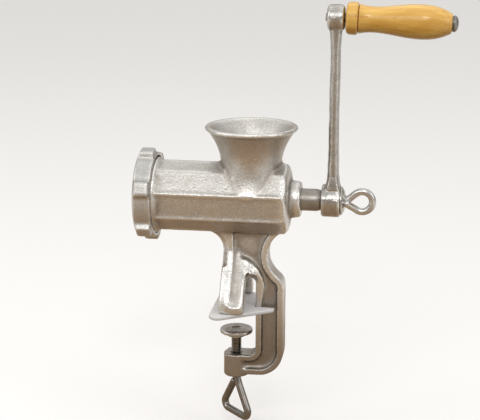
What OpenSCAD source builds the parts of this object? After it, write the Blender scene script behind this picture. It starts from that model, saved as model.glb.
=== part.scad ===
// Hand cranked meat grinder that clamps to a table edge.
// X runs along the feed barrel: the mouth is at -X and the crank at +X.
// The origin is on the table top, on the axis of the clamp screw.

/* [Feed barrel] */
// Height of the feed screw's axis above the table top
axis_h = 89; // [84:0.5:110]
// Diameter of the feed bore
bore_d = 45; // [42:0.5:46]
// Least wall between the feed bore and the barrel's flats
barrel_wall = 3.5; // [2.5:0.1:5]
// Distance from the clamp screw forward to the mouth
mouth_reach = 72.4; // [66:0.2:90]
// Distance from the clamp screw back to the rear face
rear_reach = 42.3; // [41.5:0.1:50]
// Thickness of the rear wall
rear_wall = 5; // [4:0.5:8]
// Length of the rounding at the barrel's rear end
end_round = 7; // [3:0.5:9]
// How far that rounding cuts in from the barrel's corners
end_drop = 11; // [4:0.5:12]
// Diameter of the beads along the barrel's side corners
bead_d = 2.4; // [1.8:0.1:4]
// How far the beads stand proud of those corners
bead_proud = 0.8; // [0.2:0.1:1]
// Diameter of the bearing boss
boss_d = 28; // [26:0.5:36]
// Length of the bearing boss
boss_len = 8.7; // [6:0.1:12]

/* [Mouth and ring nut] */
// Diameter of the grinding plate
plate_d = 54; // [52:0.5:58]
// Thickness of the grinding plate
plate_t = 5; // [4:0.5:7]
// Diameter of the holes in the grinding plate
plate_hole_d = 5; // [3:0.5:6]
// Least metal between neighbouring holes of the plate
plate_web = 2; // [1.5:0.1:4]
// How far the plate stands proud of the mouth
plate_proud = 1; // [0.5:0.1:2]
// Wall of the mouth outside the plate's seat
mouth_wall = 3.35; // [3:0.05:5]
// Depth of the screw thread on the mouth
thread_depth = 0.9; // [0.5:0.1:1.2]
// Pitch of the screw thread on the mouth
thread_pitch = 2.5; // [2:0.1:4]
// Length of the taper from the mouth down to the barrel
taper_len = 2.6; // [1:0.2:8]
// Length of the ring nut
ring_len = 14.2; // [12:0.1:18]
// Wall of the ring nut outside its thread
ring_wall = 2.9; // [2.5:0.1:5]
// Thickness of the ring nut's front lip
lip_t = 3; // [2:0.2:5]
// How far the lip reaches in over the plate
lip_reach = 3; // [2:0.2:5]
// Number of lobes on the ring nut
lobe_count = 6; // [4:1:10]
// Height of the lobes on the ring nut
lobe_h = 4.3; // [1:0.1:5]
// Width of a lobe across its top
lobe_w = 10; // [7:0.5:14]
// Diameter of the pin that keys the plate
key_d = 3; // [2.4:0.1:3.2]
// How far the key pin reaches into the plate's notch
key_reach = 2.2; // [1.5:0.1:3]

/* [Hopper] */
// Distance from the clamp screw back to the hopper's axis
hopper_x = 11.5; // [8:0.5:14]
// Height of the hopper's rim above the feed screw's axis
hopper_h = 57; // [50:0.5:80]
// Diameter of the hopper's rim
rim_d = 72; // [66:0.5:90]
// Diameter of the hopper's neck
neck_d = 46.8; // [44:0.2:50]
// Height above the feed screw's axis where the hopper starts to flare
neck_h = 26; // [24:0.5:34]
// Wall of the hopper
hopper_wall = 4; // [3:0.2:6]
// Height of the rounded lip of the rim
rim_lip = 3.6; // [2:0.2:6]
// How far the lip stands proud of the flare below it
rim_proud = 0.9; // [0.3:0.1:1.5]
// How far the foot of the neck stands proud of the barrel's side corner
nose = 1.2; // [0.6:0.2:2.4]

/* [Table clamp] */
// Distance from the front of the foot to the clamp screw
foot_front = 9.8; // [8:0.2:12]
// Distance from the clamp screw to the back of the foot
foot_back = 9.6; // [8:0.2:10.4]
// Distance from the clamp screw to the spine of the clamp
throat = 16.4; // [15.5:0.2:24]
// Depth of the spine from front to back
spine_d = 22; // [20:0.5:30]
// Width of the flanges
flange_w = 18; // [16:0.5:24]
// Thickness of the flanges
flange_t = 5; // [3.5:0.1:5.5]
// Thickness of the web between the flanges
web_t = 11; // [5:0.5:12]
// Width of the front flange from front to back
front_w = 8.5; // [7:0.1:9.5]
// Bevel on the front flange's corners
front_bevel = 4.8; // [2:0.2:5]
// Width of the column's waist from front to back
waist = 35.2; // [33:0.2:39]
// Height of the column's waist above the table top
waist_h = 44.5; // [42:0.5:48]
// Height of the arch between the foot and the spine
arch_h = 26; // [24:0.5:28]
// Depth of the lower jaw's top below the table top
jaw_drop = 38.5; // [34:0.5:60]
// Depth of the lower jaw
jaw_d = 16.5; // [14:0.5:24]
// Diameter of the boss round the clamp screw
jaw_boss_d = 20; // [16:0.5:26]
// How far the boss stands below the jaw
jaw_boss_proud = 2.6; // [1:0.2:6]
// Distance between the outer sides of the feet
feet_spread = 65.8; // [60:0.2:80]
// Width of one foot
foot_w = 11.6; // [8:0.2:16]
// Height of the foot's upright end
foot_h = 6; // [4:0.5:10]
// Thickness of the pad under the feet
pad_t = 3; // [2:0.2:6]
// How far the pad reaches past the feet
pad_margin = 6.5; // [4:0.5:12]
// Thickness of the table that the clamp is closed on
table_t = 19; // [16:0.5:22]

/* [Clamp screw] */
// Diameter of the clamp screw's thread
clamp_d = 8; // [7:0.2:10]
// Pitch of the clamp screw's thread
clamp_pitch = 1.25; // [1:0.05:2]
// Diameter of the wire of the clamp screw's loop
clamp_wire_d = 5.8; // [4:0.2:7]
// Length of the clamp screw's loop
clamp_loop_len = 34; // [28:0.5:50]
// Width across the clamp screw's loop
clamp_loop_w = 37; // [30:0.5:50]
// Turn of the loop about the screw, as left by hand
clamp_turn = 46; // [0:1:90]
// Plain length between the boss and the loop
clamp_neck = 2.5; // [2:0.1:6]
// Diameter of the pressure plate
press_d = 26; // [20:0.5:36]
// Thickness of the pressure plate
press_t = 3; // [2.5:0.1:5]
// Diameter of the pressure plate's hub
press_hub_d = 14; // [13:0.5:18]
// Depth of the pressure plate's hub
press_hub_h = 3; // [2:0.2:6]

/* [Feed screw and knife] */
// Diameter of the feed screw's core
core_d = 20; // [18:0.5:26]
// Lead of the feed screw's flight
flight_lead = 33; // [26:0.5:44]
// Width of the flight's edge along the axis
flight_edge = 3.2; // [2:0.1:6]
// Width of the flight's root along the axis
flight_root = 8; // [6:0.2:11]
// Thickness of the disc behind the flight
auger_disc_t = 4; // [3:0.2:6]
// Diameter of the journal
journal_d = 17.2; // [16.5:0.1:20]
// Length of the journal behind the boss
journal_out = 12.4; // [8:0.2:20]
// Length of the tapered shoulder before the square
journal_taper = 2.8; // [2:0.2:5]
// Width of the square that drives the crank
square_w = 11; // [9.6:0.1:11.5]
// Thickness of the thrust washer
thrust_t = 1.5; // [1:0.1:3]
// Diameter of the thrust washer
thrust_d = 32; // [26:0.5:38]
// Thickness of the knife
knife_t = 7; // [5:0.2:9]
// Width of one arm of the knife
knife_arm_w = 8; // [6:0.2:11]
// Diameter of the knife's hub
knife_hub_d = 19; // [17:0.5:24]
// Width of the square in the knife
stud_square = 9; // [7.6:0.1:10]
// Diameter of the stud's spigot in the plate
spigot_d = 7.6; // [6:0.1:9]
// Depth of the stud inside the feed screw
stud_depth = 16; // [10:0.5:24]

/* [Crank] */
// Radius of the crank
crank_r = 140.4; // [110:0.2:180]
// Diameter of the crank's hub
hub_d = 25.4; // [24:0.2:32]
// Length of the crank's hub
hub_len = 14.8; // [14:0.2:24]
// Set of the arm behind the hub's inner face
arm_set = 8.6; // [7:0.2:11]
// Thickness of the arm along the axis
arm_t = 6.8; // [6:0.2:9]
// Width of the arm at the hub
arm_w_low = 16; // [12:0.5:20]
// Width of the arm at the eye
arm_w_high = 12; // [10:0.5:16]
// Bevel along the arm's edges
arm_bevel = 2.4; // [1:0.1:3]
// Diameter of the eye
eye_d = 19.8; // [18:0.2:28]
// Length of the eye
eye_len = 13.3; // [10:0.1:18]
// Diameter of the crank's domed washer
washer_d = 22; // [18:0.2:24]
// Height of the crank's domed washer
washer_h = 3.4; // [2.4:0.1:5]
// Diameter of the thumbscrew's thread
thumb_d = 7; // [5:0.2:7.4]
// Pitch of the thumbscrew's thread
thumb_pitch = 1.25; // [1:0.05:1.75]
// Length of the thumbscrew's thread in the shaft
thumb_depth = 14; // [10:0.5:16]
// Diameter of the wire of the thumbscrew's loop
thumb_wire_d = 5.6; // [4:0.1:6]
// Length of the thumbscrew's loop
thumb_loop_len = 23; // [20:0.5:32]
// Height of the thumbscrew's loop
thumb_loop_h = 21.4; // [18:0.2:28]

/* [Grip] */
// Length of the wooden grip
grip_len = 77.7; // [60:0.1:110]
// Greatest diameter of the grip
grip_d = 25.8; // [22:0.1:34]
// Diameter of the grip's collar
grip_collar_d = 24.4; // [21:0.1:30]
// Length of the grip's collar
grip_collar_len = 9; // [6:0.1:14]
// Diameter of the grip's neck
grip_neck_d = 19.3; // [16:0.1:22]
// Diameter of the grip's end
grip_end_d = 15.8; // [14.4:0.1:20]
// Droop of the grip below the crank's axis
grip_droop = 2; // [0:0.5:4]
// Diameter of the pin through the grip
pin_d = 7; // [6:0.1:8]
// Diameter of the pin's domed head
pin_head_d = 12.2; // [10:0.1:14]
// Height of the pin's domed head
pin_head_h = 3.8; // [2.5:0.1:6]
// Thickness of the washer under the pin's head
grip_washer_t = 0.8; // [0.5:0.1:1.5]
// Gap between the eye and the grip
grip_gap = 0.8; // [0.4:0.1:2]

/* [Clearances] */
// Radial clearance of a running fit
run_clear = 0.05; // [0.02:0.01:0.09]
// Clearance round a seated or keyed piece
seat_clear = 0.15; // [0.1:0.05:0.3]
// Axial clearance between pieces that turn on each other
face_clear = 0.1; // [0.05:0.05:0.3]
// Radial clearance between the flight and the bore
flight_clear = 0.7; // [0.4:0.1:1.2]

/* [Hidden] */
$fn = 64;
// Overlap that joins the solids of one piece
slip = 0.01;
// How far a cut runs past a face
over = 1;
// Shares of a pitch where a thread's crest starts and ends, and where its root starts
crest_from = 0.3;
crest_to = 0.6;
root_from = 0.9;

// Corners of the barrel's section, as angles up from the near side
barrel_corners = [90, 54, 14, -27, -68];
corner_r = (bore_d / 2 + barrel_wall) / cos(90 + barrel_corners[4]);
side_z = corner_r * sin(barrel_corners[2]);
side_r = corner_r * cos(barrel_corners[2]);
belly_z = corner_r * sin(barrel_corners[4]);

// Stations along X, from the mouth to the crank
mouth_x = -mouth_reach;
plate_front_x = mouth_x - plate_proud;
plate_back_x = plate_front_x + plate_t;
ring_front_x = plate_front_x - lip_t;
ring_back_x = ring_front_x + ring_len;
knife_front_x = plate_back_x + face_clear;
knife_back_x = knife_front_x + knife_t;
auger_front_x = knife_back_x;
knife_room = 1;
seat_floor_x = knife_back_x + knife_room;
ring_gap = 0.5;
barrel_front_x = ring_back_x + ring_gap;
rear_x = rear_reach;
rear_in_x = rear_x - rear_wall;
auger_back_x = rear_in_x - thrust_t - face_clear;
boss_end_x = rear_x + boss_len;
journal_end_x = boss_end_x + journal_out;
hub_x = journal_end_x + journal_taper;
hub_end_x = hub_x + hub_len;
square_short = 0.6;
square_end_x = hub_end_x - square_short;
washer_x = hub_end_x;
thumb_x = washer_x + washer_h;
arm_x = hub_x + arm_set;

// Radii
seat_r = plate_d / 2 + seat_clear;
thread_r = seat_r + mouth_wall;
ring_bore_r = thread_r + run_clear;
ring_r = ring_bore_r + ring_wall;
lobe_r = ring_r + lobe_h;
lip_r = plate_d / 2 - lip_reach;
// Turn of the lobes when the ring nut is tight
lobe_turn = 11;
journal_r = journal_d / 2;
flight_r = bore_d / 2 - flight_clear;
key_r = key_d / 2;
key_x = plate_back_x - key_r - seat_clear;
key_cover = 0.4;
pin_r = pin_d / 2;
thumb_r = thumb_d / 2;
clamp_r = clamp_d / 2;
// Spigot at the clamp screw's end and its flared rim, which hold the pressure plate
spigot_step = 1.5;
spigot_r = clamp_r - spigot_step;
rivet_h = 1.5;
rivet_sink = 0.5;

// Heights of the clamp
jaw_top = -jaw_drop;
jaw_low = jaw_top - jaw_d;
jaw_boss_low = jaw_low - jaw_boss_proud;
press_top = -table_t;
press_low = press_top - press_t - press_hub_h;
spine_x = throat + spine_d;
foot_out = feet_spread / 2;
foot_in = foot_out - foot_w;
// Height where the front edge curves into the barrel, and of the crotch between the legs
brow_rise = 3.5;
brow_h = waist_h + brow_rise;
crotch_rise = 4.5;
crotch_h = arch_h + crotch_rise;

// Places on the grip, along its own axis from the eye's outer face
grip_start = grip_gap;
grip_end = grip_start + grip_len;
eye_end = eye_len / 2;

tin = [0.74, 0.73, 0.7];
steel = [0.66, 0.67, 0.69];

// Points on an arc about c from angle a0 to a1, in n steps
function arc(c, r, a0, a1, n) = [for (k = [0:n]) let (a = a0 + (a1 - a0) * k / n) c + r * [cos(a), sin(a)]];

// Stands children, whose Z is the feed screw's axis, along X from station x
module on_axis(x) {
    translate([x, 0, axis_h]) rotate([0, 90, 0]) children();
}

// Extrudes a section, drawn as Y across and Z up, along X
module section_x(x, len) {
    translate([x, 0, axis_h]) rotate([90, 0, 90]) linear_extrude(len) children();
}

// Extrudes a side outline, drawn as X along and Z up, by a width about Y = 0
module side_extrude(w) {
    rotate([90, 0, 0]) linear_extrude(w, center = true) children();
}

// Stands children, whose Z is the grip's axis, at the eye
module on_grip() {
    translate([arm_x, 0, axis_h + crank_r]) rotate([0, 90 + grip_droop, 0]) children();
}

// Ring of a round wire at point i of a path in the XZ plane
function wire_ring(path, i, r, sides) =
    let (p = path[max(i - 1, 0)], q = path[min(i + 1, len(path) - 1)])
    let (t = atan2(q[2] - p[2], q[0] - p[0]))
    [for (j = [0:sides - 1]) path[i] + r * [
        -sin(t) * cos(360 * j / sides),
        sin(360 * j / sides),
        cos(t) * cos(360 * j / sides)]];

// Joins flat sections with the same number of points, in order, each clockwise as seen from the next
module loft(sections) {
    n = len(sections);
    m = len(sections[0]);
    points = [for (s = sections) each s];
    walls = [for (i = [0:n - 2], j = [0:m - 1])
        let (a = i * m + j, b = i * m + (j + 1) % m)
        each [[a, b, b + m], [a, b + m, a + m]]];
    caps = [[for (j = [m - 1:-1:0]) j], [for (j = [0:m - 1]) (n - 1) * m + j]];
    polyhedron(points, concat(walls, caps));
}

// Round wire along a path in the XZ plane
module wire(path, r, sides = 12) {
    loft([for (i = [0:len(path) - 1]) wire_ring(path, i, r, sides)]);
}

// Finger loop bent from wire: from the end of a screw at the origin out along X, with its width along Z.
// The returning strand passes beside the neck by side_step and stops at a share of the way back.
module finger_loop(length, width, wire_d, bend_r, back, side_step) {
    c = [length - wire_d / 2 - bend_r, width / 2 - wire_d / 2 - bend_r];
    lean = atan2(c[1], c[0]) + asin(bend_r / norm(c));
    out = [for (p = arc(c, bend_r, 90 + lean, 0, 8)) [p[0], 0, p[1]]];
    home = [for (p = arc([c[0], -c[1]], bend_r, 0, -90 - lean, 8)) [p[0], 0, p[1]]];
    last = home[len(home) - 1];
    tail = [for (s = [0.5, 1]) [last[0] * (1 - back * s), -side_step * s, last[2] * (1 - back * s)]];
    bar = c[1] > slip ? home : [for (i = [1:len(home) - 1]) home[i]];
    wire(concat([[-wire_d, 0, 0], [0, 0, 0]], out, bar, tail), wire_d / 2);
}

// Outline of a screw thread as rings: radius against length
function thread_outline(r, depth, pitch, z0, z1) =
    let (n = floor((z1 - z0) / pitch))
    concat([[0, z0], [r - depth, z0]],
        [for (i = [0:n - 1]) each [
            [r, z0 + pitch * (i + crest_from)],
            [r, z0 + pitch * (i + crest_to)],
            [r - depth, z0 + pitch * (i + root_from)]]],
        [[r - depth, z1], [0, z1]]);

// Section of the barrel, with its corners on a circle of radius r
module barrel_section(r) {
    right = [for (a = barrel_corners) r * [cos(a), sin(a)]];
    left = [for (i = [len(right) - 1:-1:1]) [-right[i][0], right[i][1]]];
    polygon(concat(right, left));
}

// Barrel with flat sides, beads along its side corners and a rounded rear end
module barrel() {
    length = rear_x - barrel_front_x;
    bead_r = corner_r + bead_proud - bead_d / 2;
    spare = 0.3;
    wide_r = corner_r + bead_proud + spare;
    rounding = [for (a = [0:15:90])
        [wide_r - end_drop * (1 - cos(a)), length - end_round * (1 - sin(a))]];
    intersection() {
        union() {
            section_x(barrel_front_x, length) barrel_section(corner_r);
            for (a = [barrel_corners[2], barrel_corners[3]], s = [-1, 1])
                on_axis(barrel_front_x) translate([-bead_r * sin(a), s * bead_r * cos(a), 0])
                    cylinder(d = bead_d, h = length);
        }
        on_axis(barrel_front_x) rotate_extrude()
            polygon(concat([[0, -over], [wide_r, -over]], rounding, [[0, length]]));
    }
}

// Bearing boss, a little wider at its foot, with a rounded rim
module bearing_boss() {
    edge = 2.5;
    foot = 1;
    r = boss_d / 2;
    on_axis(rear_x - over) rotate_extrude() polygon(concat([[0, 0], [r + foot, 0]],
        arc([r - edge, boss_len + over - edge], edge, 0, 90, 5), [[0, boss_len + over]]));
}

// Radius of the hopper's outside at a height above the feed screw's axis
function flare(z) =
    let (share = max(z - neck_h, 0) / (hopper_h - rim_lip / 2 - neck_h))
    neck_d / 2 + (rim_d / 2 - rim_proud - neck_d / 2) * pow(share, 2);
// The foot of the neck spreads past the barrel's side corner
function skirt(z) =
    let (share = (neck_h - z) / (neck_h - side_z))
    neck_d / 2 + (side_r + nose - neck_d / 2) * pow(share, 2);

module hopper_outside() {
    lip = rim_lip / 2;
    top = hopper_h - lip;
    lip_a = -70;
    chin = 6;
    chin_in = 1;
    rise = [for (k = [0:6]) side_z + (neck_h - side_z) * k / 6];
    wide = [for (k = [1:10]) neck_h + (top + lip * sin(lip_a) - neck_h) * k / 10];
    outline = concat(
        [[0, side_z - chin], [side_r - chin_in, side_z - chin]],
        [for (z = rise) [skirt(z), z]],
        [for (z = wide) [flare(z), z]],
        arc([rim_d / 2 - lip, top], lip, lip_a, 90, 10),
        [[0, hopper_h]]);
    translate([hopper_x, 0, axis_h]) rotate_extrude() polygon(outline);
}

module hopper_inside() {
    throat_r = neck_d / 2 - hopper_wall;
    rim_extra = 0.3;
    wide = [for (k = [0:10]) neck_h + (hopper_h - neck_h) * k / 10];
    outline = concat(
        [[0, 0], [throat_r, 0]],
        [for (z = wide) [flare(z) - hopper_wall - rim_extra * (z - neck_h) / (hopper_h - neck_h), z]],
        [[flare(hopper_h) - hopper_wall, hopper_h + over], [0, hopper_h + over]]);
    translate([hopper_x, 0, axis_h]) rotate_extrude() polygon(outline);
}

// Side view of the hollow that the column's front edge curves round on its way into the barrel
brow_r = 14;
brow_at = [-foot_front - brow_r, brow_h];
roof_h = axis_h - bore_d / 2 + over;
brow_a = min(75, asin(min(1, (roof_h - brow_h) / brow_r)));

// Outline of the clamp's frame from the side, moved in by d all round.
// Its front edge curves into the barrel, or is straight and moved in by front where that is given.
// Its lower edge between the legs is at height low.
function frame_outline(d, front, low) =
    let (neck_r = 22, knee_r = 12, heel_r = 20, sole_r = 5, root_in = 2)
    let (neck = [waist - foot_front + neck_r, waist_h])
    let (knee_x = spine_x - knee_r)
    let (knee = [knee_x, waist_h - sqrt(pow(neck_r + knee_r, 2) - pow(neck[0] - knee_x, 2))])
    let (turn = atan2(neck[1] - knee[1], neck[0] - knee[0]))
    let (neck_a = max(108, 180 - asin(min(1, (roof_h - waist_h) / (neck_r + d)))))
    let (front_x = -foot_front + front)
    let (arch_r = (throat - foot_back) / 2)
    let (root_x = foot_back - root_in)
    let (jaw_x = d - jaw_boss_d * 0.4)
    let (curve = arc(brow_at, brow_r, brow_a, 0, 6))
    concat(
        front > 0 ? [[front_x, roof_h + over]] : concat([[curve[0][0], roof_h + over]], curve),
        [[front_x, low], [root_x, low], [root_x, arch_h + d], [throat - arch_r, arch_h + d]],
        arc([throat - arch_r, arch_h - arch_r], arch_r + d, 75, 0, 5),
        arc([throat - sole_r, jaw_top + sole_r], sole_r + d, 0, -90, 6),
        [[jaw_x, jaw_top - d], [jaw_x, jaw_low + d]],
        arc([spine_x - heel_r, jaw_low + heel_r], heel_r - d, -90, 0, 8),
        arc(knee, knee_r - d, 0, turn, 6),
        arc(neck, neck_r + d, 180 + turn, neck_a, 12),
        [[neck[0] + (neck_r + d) * cos(neck_a), roof_h + over]]);

// Section of the bevel's cut on the front edge, at p on the edge with the open side towards u
function bevel_cut(p, u) =
    let (side_y = flange_w / 2, a = p + over * u, b = p - (front_bevel + over) * u)
    [[a[0], side_y - front_bevel, a[1]], [a[0], side_y + over, a[1]], [b[0], side_y + over, b[1]]];

module frame() {
    difference() {
        side_extrude(flange_w) polygon(frame_outline(0, 0, crotch_h));
        for (s = [0, 1]) mirror([0, s, 0]) {
            translate([0, web_t / 2 + flange_w / 2, 0])
                side_extrude(flange_w) polygon(frame_outline(flange_t, front_w, crotch_h - over));
            loft(concat([bevel_cut([-foot_front, crotch_h - over], [-1, 0])],
                [for (a = [0:brow_a / 6:brow_a])
                    let (u = [cos(a), sin(a)]) bevel_cut(brow_at + brow_r * u, -u)]));
        }
    }
}

// Share of a leg's splay at a share t of the way down it: gentle at the column and at the foot
function splay(t) = t * (1 + 3 * t - 2 * t * t) / 2;

// One leg: a front rail with a facet from the column down to the foot, a hollow face with a rim, and the brow
// that carries the rim over the arch to the spine's flange
module leg() {
    low = pad_t + foot_h;
    top_rise = 2;
    top = brow_h + top_rise;
    ledge_drop = 8;
    ledge = waist_h - ledge_drop;
    ledge_h = 0.5;
    split = front_w - foot_front;
    side_y = flange_w / 2;
    web_y = web_t / 2;
    sunk = 0.4;
    flush = side_y - sunk;
    deep = flush - web_y + sunk;
    facet = 5.4;
    facet_fall = 1.8;
    rail_edge = 1.2;
    rear_in = 0.8;
    fade = 8;
    peak_x = 3;
    narrow_rise = 8;
    narrow_h = arch_h + narrow_rise;
    rim_rise = 10;
    rim_h = arch_h + rim_rise;
    toe = 2.5;
    function out(z) = flush + (foot_out - flush) * splay((top - z) / (top - low));
    function hollow(z) = deep * min(1, 0.2 + (z - low) / fade);
    function back(z) = foot_back - (foot_back - peak_x) * max(0, z - narrow_h) / (top - narrow_h);
    function section(z, bevel, fall) =
        let (y = out(z), in_y = y - foot_w, floor_y = y - hollow(z))
        let (rim_y = floor_y + max(0, hollow(z) - rear_in) * min(1, max(0, (rim_h - z) / fade)))
        let (x = back(z), rim_x = x - (x - split) * 0.36)
        [[-foot_front, in_y, z], [-foot_front, y - fall, z], [bevel - foot_front, y, z], [split, y, z],
            [split + rail_edge, floor_y, z], [rim_x, floor_y, z], [x - rail_edge, rim_y, z],
            [x, rim_y - rail_edge, z], [x, in_y, z]];
    loft(concat(
        [for (k = [0:7]) section(low + (ledge - low) * k / 7, facet, facet_fall)],
        [for (k = [0:5]) let (z = ledge + ledge_h + (top - ledge - ledge_h) * k / 5)
            section(z, front_bevel, front_bevel)]));

    // The brow lies between two quarter ellipses, its lip and its crest, and ends on the flange's rear edge
    start = -foot_w / 2;
    flange_x = throat + flange_t;
    lip_out = 1.4;
    lip_x = foot_back + lip_out;
    lip_h = 18;
    lip_rise = 5.8;
    lip_top = arch_h + lip_rise;
    crest_h = 31;
    crest_drop = 1.5;
    crest_top = waist_h - crest_drop;
    crest_wide = 3;
    swell = 3;
    tail = 10;
    lip_in = 2;
    lip_y = out(lip_top) - lip_in;
    function strip(lip, crest, y0, y1) = [[lip[0], start, lip[1]], [crest[0], start, crest[1]],
        [crest[0], y1, crest[1]], [lip[0], y0, lip[1]]];
    function brow(a) = strip(
        [lip_x + (flange_x - lip_x) * cos(a), lip_top - lip_h * (1 - sin(a))],
        [peak_x + (flange_x + crest_wide - peak_x) * cos(a), crest_top - crest_h * (1 - sin(a))],
        flush + (lip_y - flush) * pow(sin(a), 4),
        web_y - sunk / 4 + swell * (sin(a) + sin(2 * a)));
    end = [flange_x - over, lip_top - lip_h - tail];
    loft(concat([for (a = [105:-15:0]) brow(a)],
        [strip(end, end + [over / 2, -over], flush, web_y - sunk / 4)]));

    translate([0, 0, pad_t]) linear_extrude(foot_h + slip)
        polygon([[-foot_front, foot_in], [foot_back, foot_in], [foot_back, foot_out - toe],
            [foot_back - toe, foot_out], [facet - foot_front, foot_out],
            [-foot_front, foot_out - facet_fall]]);
}

module body_casting() {
    color(tin) difference() {
        union() {
            barrel();
            on_axis(mouth_x) rotate_extrude() polygon(thread_outline(thread_r, thread_depth, thread_pitch,
                0, barrel_front_x - mouth_x));
            on_axis(barrel_front_x - slip)
                cylinder(r1 = thread_r - thread_depth, r2 = corner_r - 0.4, h = taper_len);
            bearing_boss();
            hopper_outside();
            frame();
            for (s = [0, 1]) mirror([0, s, 0]) leg();
            translate([0, 0, jaw_boss_low]) cylinder(d = jaw_boss_d, h = jaw_top - jaw_boss_low);
        }
        on_axis(mouth_x - over) cylinder(r = seat_r, h = seat_floor_x - mouth_x + over);
        on_axis(seat_floor_x - over) cylinder(d = bore_d, h = rear_in_x - seat_floor_x + over);
        on_axis(rear_in_x - over) cylinder(r = journal_r + run_clear, h = boss_end_x - rear_in_x + 2 * over);
        hopper_inside();
        key_pin();
        translate([0, 0, jaw_boss_low - over])
            cylinder(r = clamp_r + run_clear, h = jaw_top - jaw_boss_low + 2 * over);
    }
}

// Key pin's own solid, pressed into the wall at the top of the mouth
module key_pin() {
    translate([key_x, 0, axis_h + plate_d / 2 - key_reach])
        cylinder(r = key_r, h = key_reach + seat_clear + mouth_wall - thread_depth - key_cover);
}

module locating_pin() {
    color(steel) key_pin();
}

module table_pad() {
    toe_r = pad_margin + 0.5;
    tail_r = 3;
    tail_x = spine_x - 10;
    color([0.9, 0.9, 0.88, 0.8]) difference() {
        linear_extrude(pad_t) hull() {
            for (s = [-1, 1]) {
                translate([-foot_front, s * (foot_out + pad_margin - toe_r - tail_r / 6)]) circle(toe_r);
                translate([tail_x, s * (flange_w / 2 + tail_r)]) circle(tail_r);
            }
        }
        translate([throat - seat_clear, -flange_w / 2 - seat_clear, -over])
            cube([spine_d + spine_x, flange_w + 2 * seat_clear, pad_t + 2 * over]);
    }
}

module thrust_washer() {
    color([0.92, 0.91, 0.86]) on_axis(rear_in_x - thrust_t) difference() {
        cylinder(d = thrust_d, h = thrust_t);
        translate([0, 0, -over]) cylinder(r = journal_r + run_clear, h = thrust_t + 2 * over);
    }
}

// Section of the flight: a lobe whose angle at root and edge gives its width along the axis
module flight_section() {
    root = flight_root / flight_lead * 180;
    edge = flight_edge / flight_lead * 180;
    sunk = 1.5;
    inner_r = core_d / 2 - sunk;
    polygon(concat(arc([0, 0], inner_r, root, -root, 3), arc([0, 0], flight_r, -edge, edge, 3)));
}

module auger() {
    disc_x = auger_back_x - auger_disc_t;
    flight_len = disc_x - auger_front_x + slip;
    slices_per_turn = 18;
    disc_in = 1;
    taper_step = 0.3;
    corner_share = 0.71;
    color(tin) difference() {
        union() {
            on_axis(auger_front_x) cylinder(d = core_d, h = flight_len);
            on_axis(auger_front_x + slip) linear_extrude(flight_len, twist = 360 * flight_len / flight_lead,
                slices = ceil(slices_per_turn * flight_len / flight_lead), segments = 8) flight_section();
            on_axis(disc_x) cylinder(r = flight_r - disc_in, h = auger_disc_t);
            on_axis(auger_back_x - slip) cylinder(r = journal_r, h = journal_end_x - auger_back_x + slip);
            on_axis(journal_end_x - slip)
                cylinder(r1 = journal_r - taper_step, r2 = square_w * corner_share, h = journal_taper + slip);
            on_axis(hub_x - slip) translate([-square_w / 2, -square_w / 2, 0])
                cube([square_w, square_w, square_end_x - hub_x + slip]);
        }
        on_axis(square_end_x - thumb_depth - over)
            cylinder(r = thumb_r + run_clear, h = thumb_depth + 2 * over);
        on_axis(auger_front_x - over) cylinder(d = stud_square, h = stud_depth + over);
    }
}

module auger_stud() {
    short = 0.5;
    color(steel) {
        on_axis(auger_front_x) cylinder(d = stud_square, h = stud_depth);
        on_axis(knife_front_x) translate([-stud_square / 2, -stud_square / 2, 0])
            cube([stud_square, stud_square, knife_t]);
        on_axis(plate_front_x + short) cylinder(d = spigot_d, h = knife_front_x - plate_front_x);
    }
}

module knife() {
    tip_gap = 1.5;
    hub_proud = 1.5;
    tip = 2;
    heel = 3;
    arm_r = seat_r - tip_gap;
    half = knife_arm_w / 2;
    square = stud_square + seat_clear;
    color(steel) on_axis(knife_front_x) difference() {
        union() {
            cylinder(d = knife_hub_d, h = knife_t);
            for (a = [0:90:270]) rotate(a) linear_extrude(knife_t - hub_proud)
                polygon([[0, -half], [0, half], [arm_r - tip, half], [arm_r, half - heel],
                    [arm_r - tip / 2, -half]]);
        }
        translate([-square / 2, -square / 2, -over]) cube([square, square, knife_t + 2 * over]);
    }
}

module grinding_plate() {
    step = plate_hole_d + plate_web;
    span = plate_d / 2 - lip_reach - plate_hole_d / 2;
    core = spigot_d / 2 + plate_web + plate_hole_d / 2;
    n = floor(span / step);
    color(steel) on_axis(plate_front_x) difference() {
        cylinder(d = plate_d, h = plate_t);
        translate([0, 0, -over]) cylinder(r = spigot_d / 2 + run_clear, h = plate_t + 2 * over);
        for (i = [-n:n], j = [-n:n]) {
            at = step * [i + j / 2, j * sqrt(3) / 2];
            if (norm(at) < span && norm(at) > core)
                translate([at[0], at[1], -over]) cylinder(d = plate_hole_d, h = plate_t + 2 * over);
        }
        translate([-plate_d, -key_r - seat_clear, -over])
            cube([plate_d / 2 + key_reach + seat_clear, key_d + 2 * seat_clear, plate_t + 2 * over]);
    }
}

// Ring nut's outline: a round wall with lobes for the hand
module lobed_outline() {
    sunk = 1;
    half = lobe_w / 2;
    foot = half + 2;
    circle(ring_r);
    for (k = [0:lobe_count - 1]) rotate(k * 360 / lobe_count + lobe_turn)
        polygon([[0, -foot], [ring_r - sunk, -foot], [lobe_r, -half],
            [lobe_r, half], [ring_r - sunk, foot], [0, foot]]);
}

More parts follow.
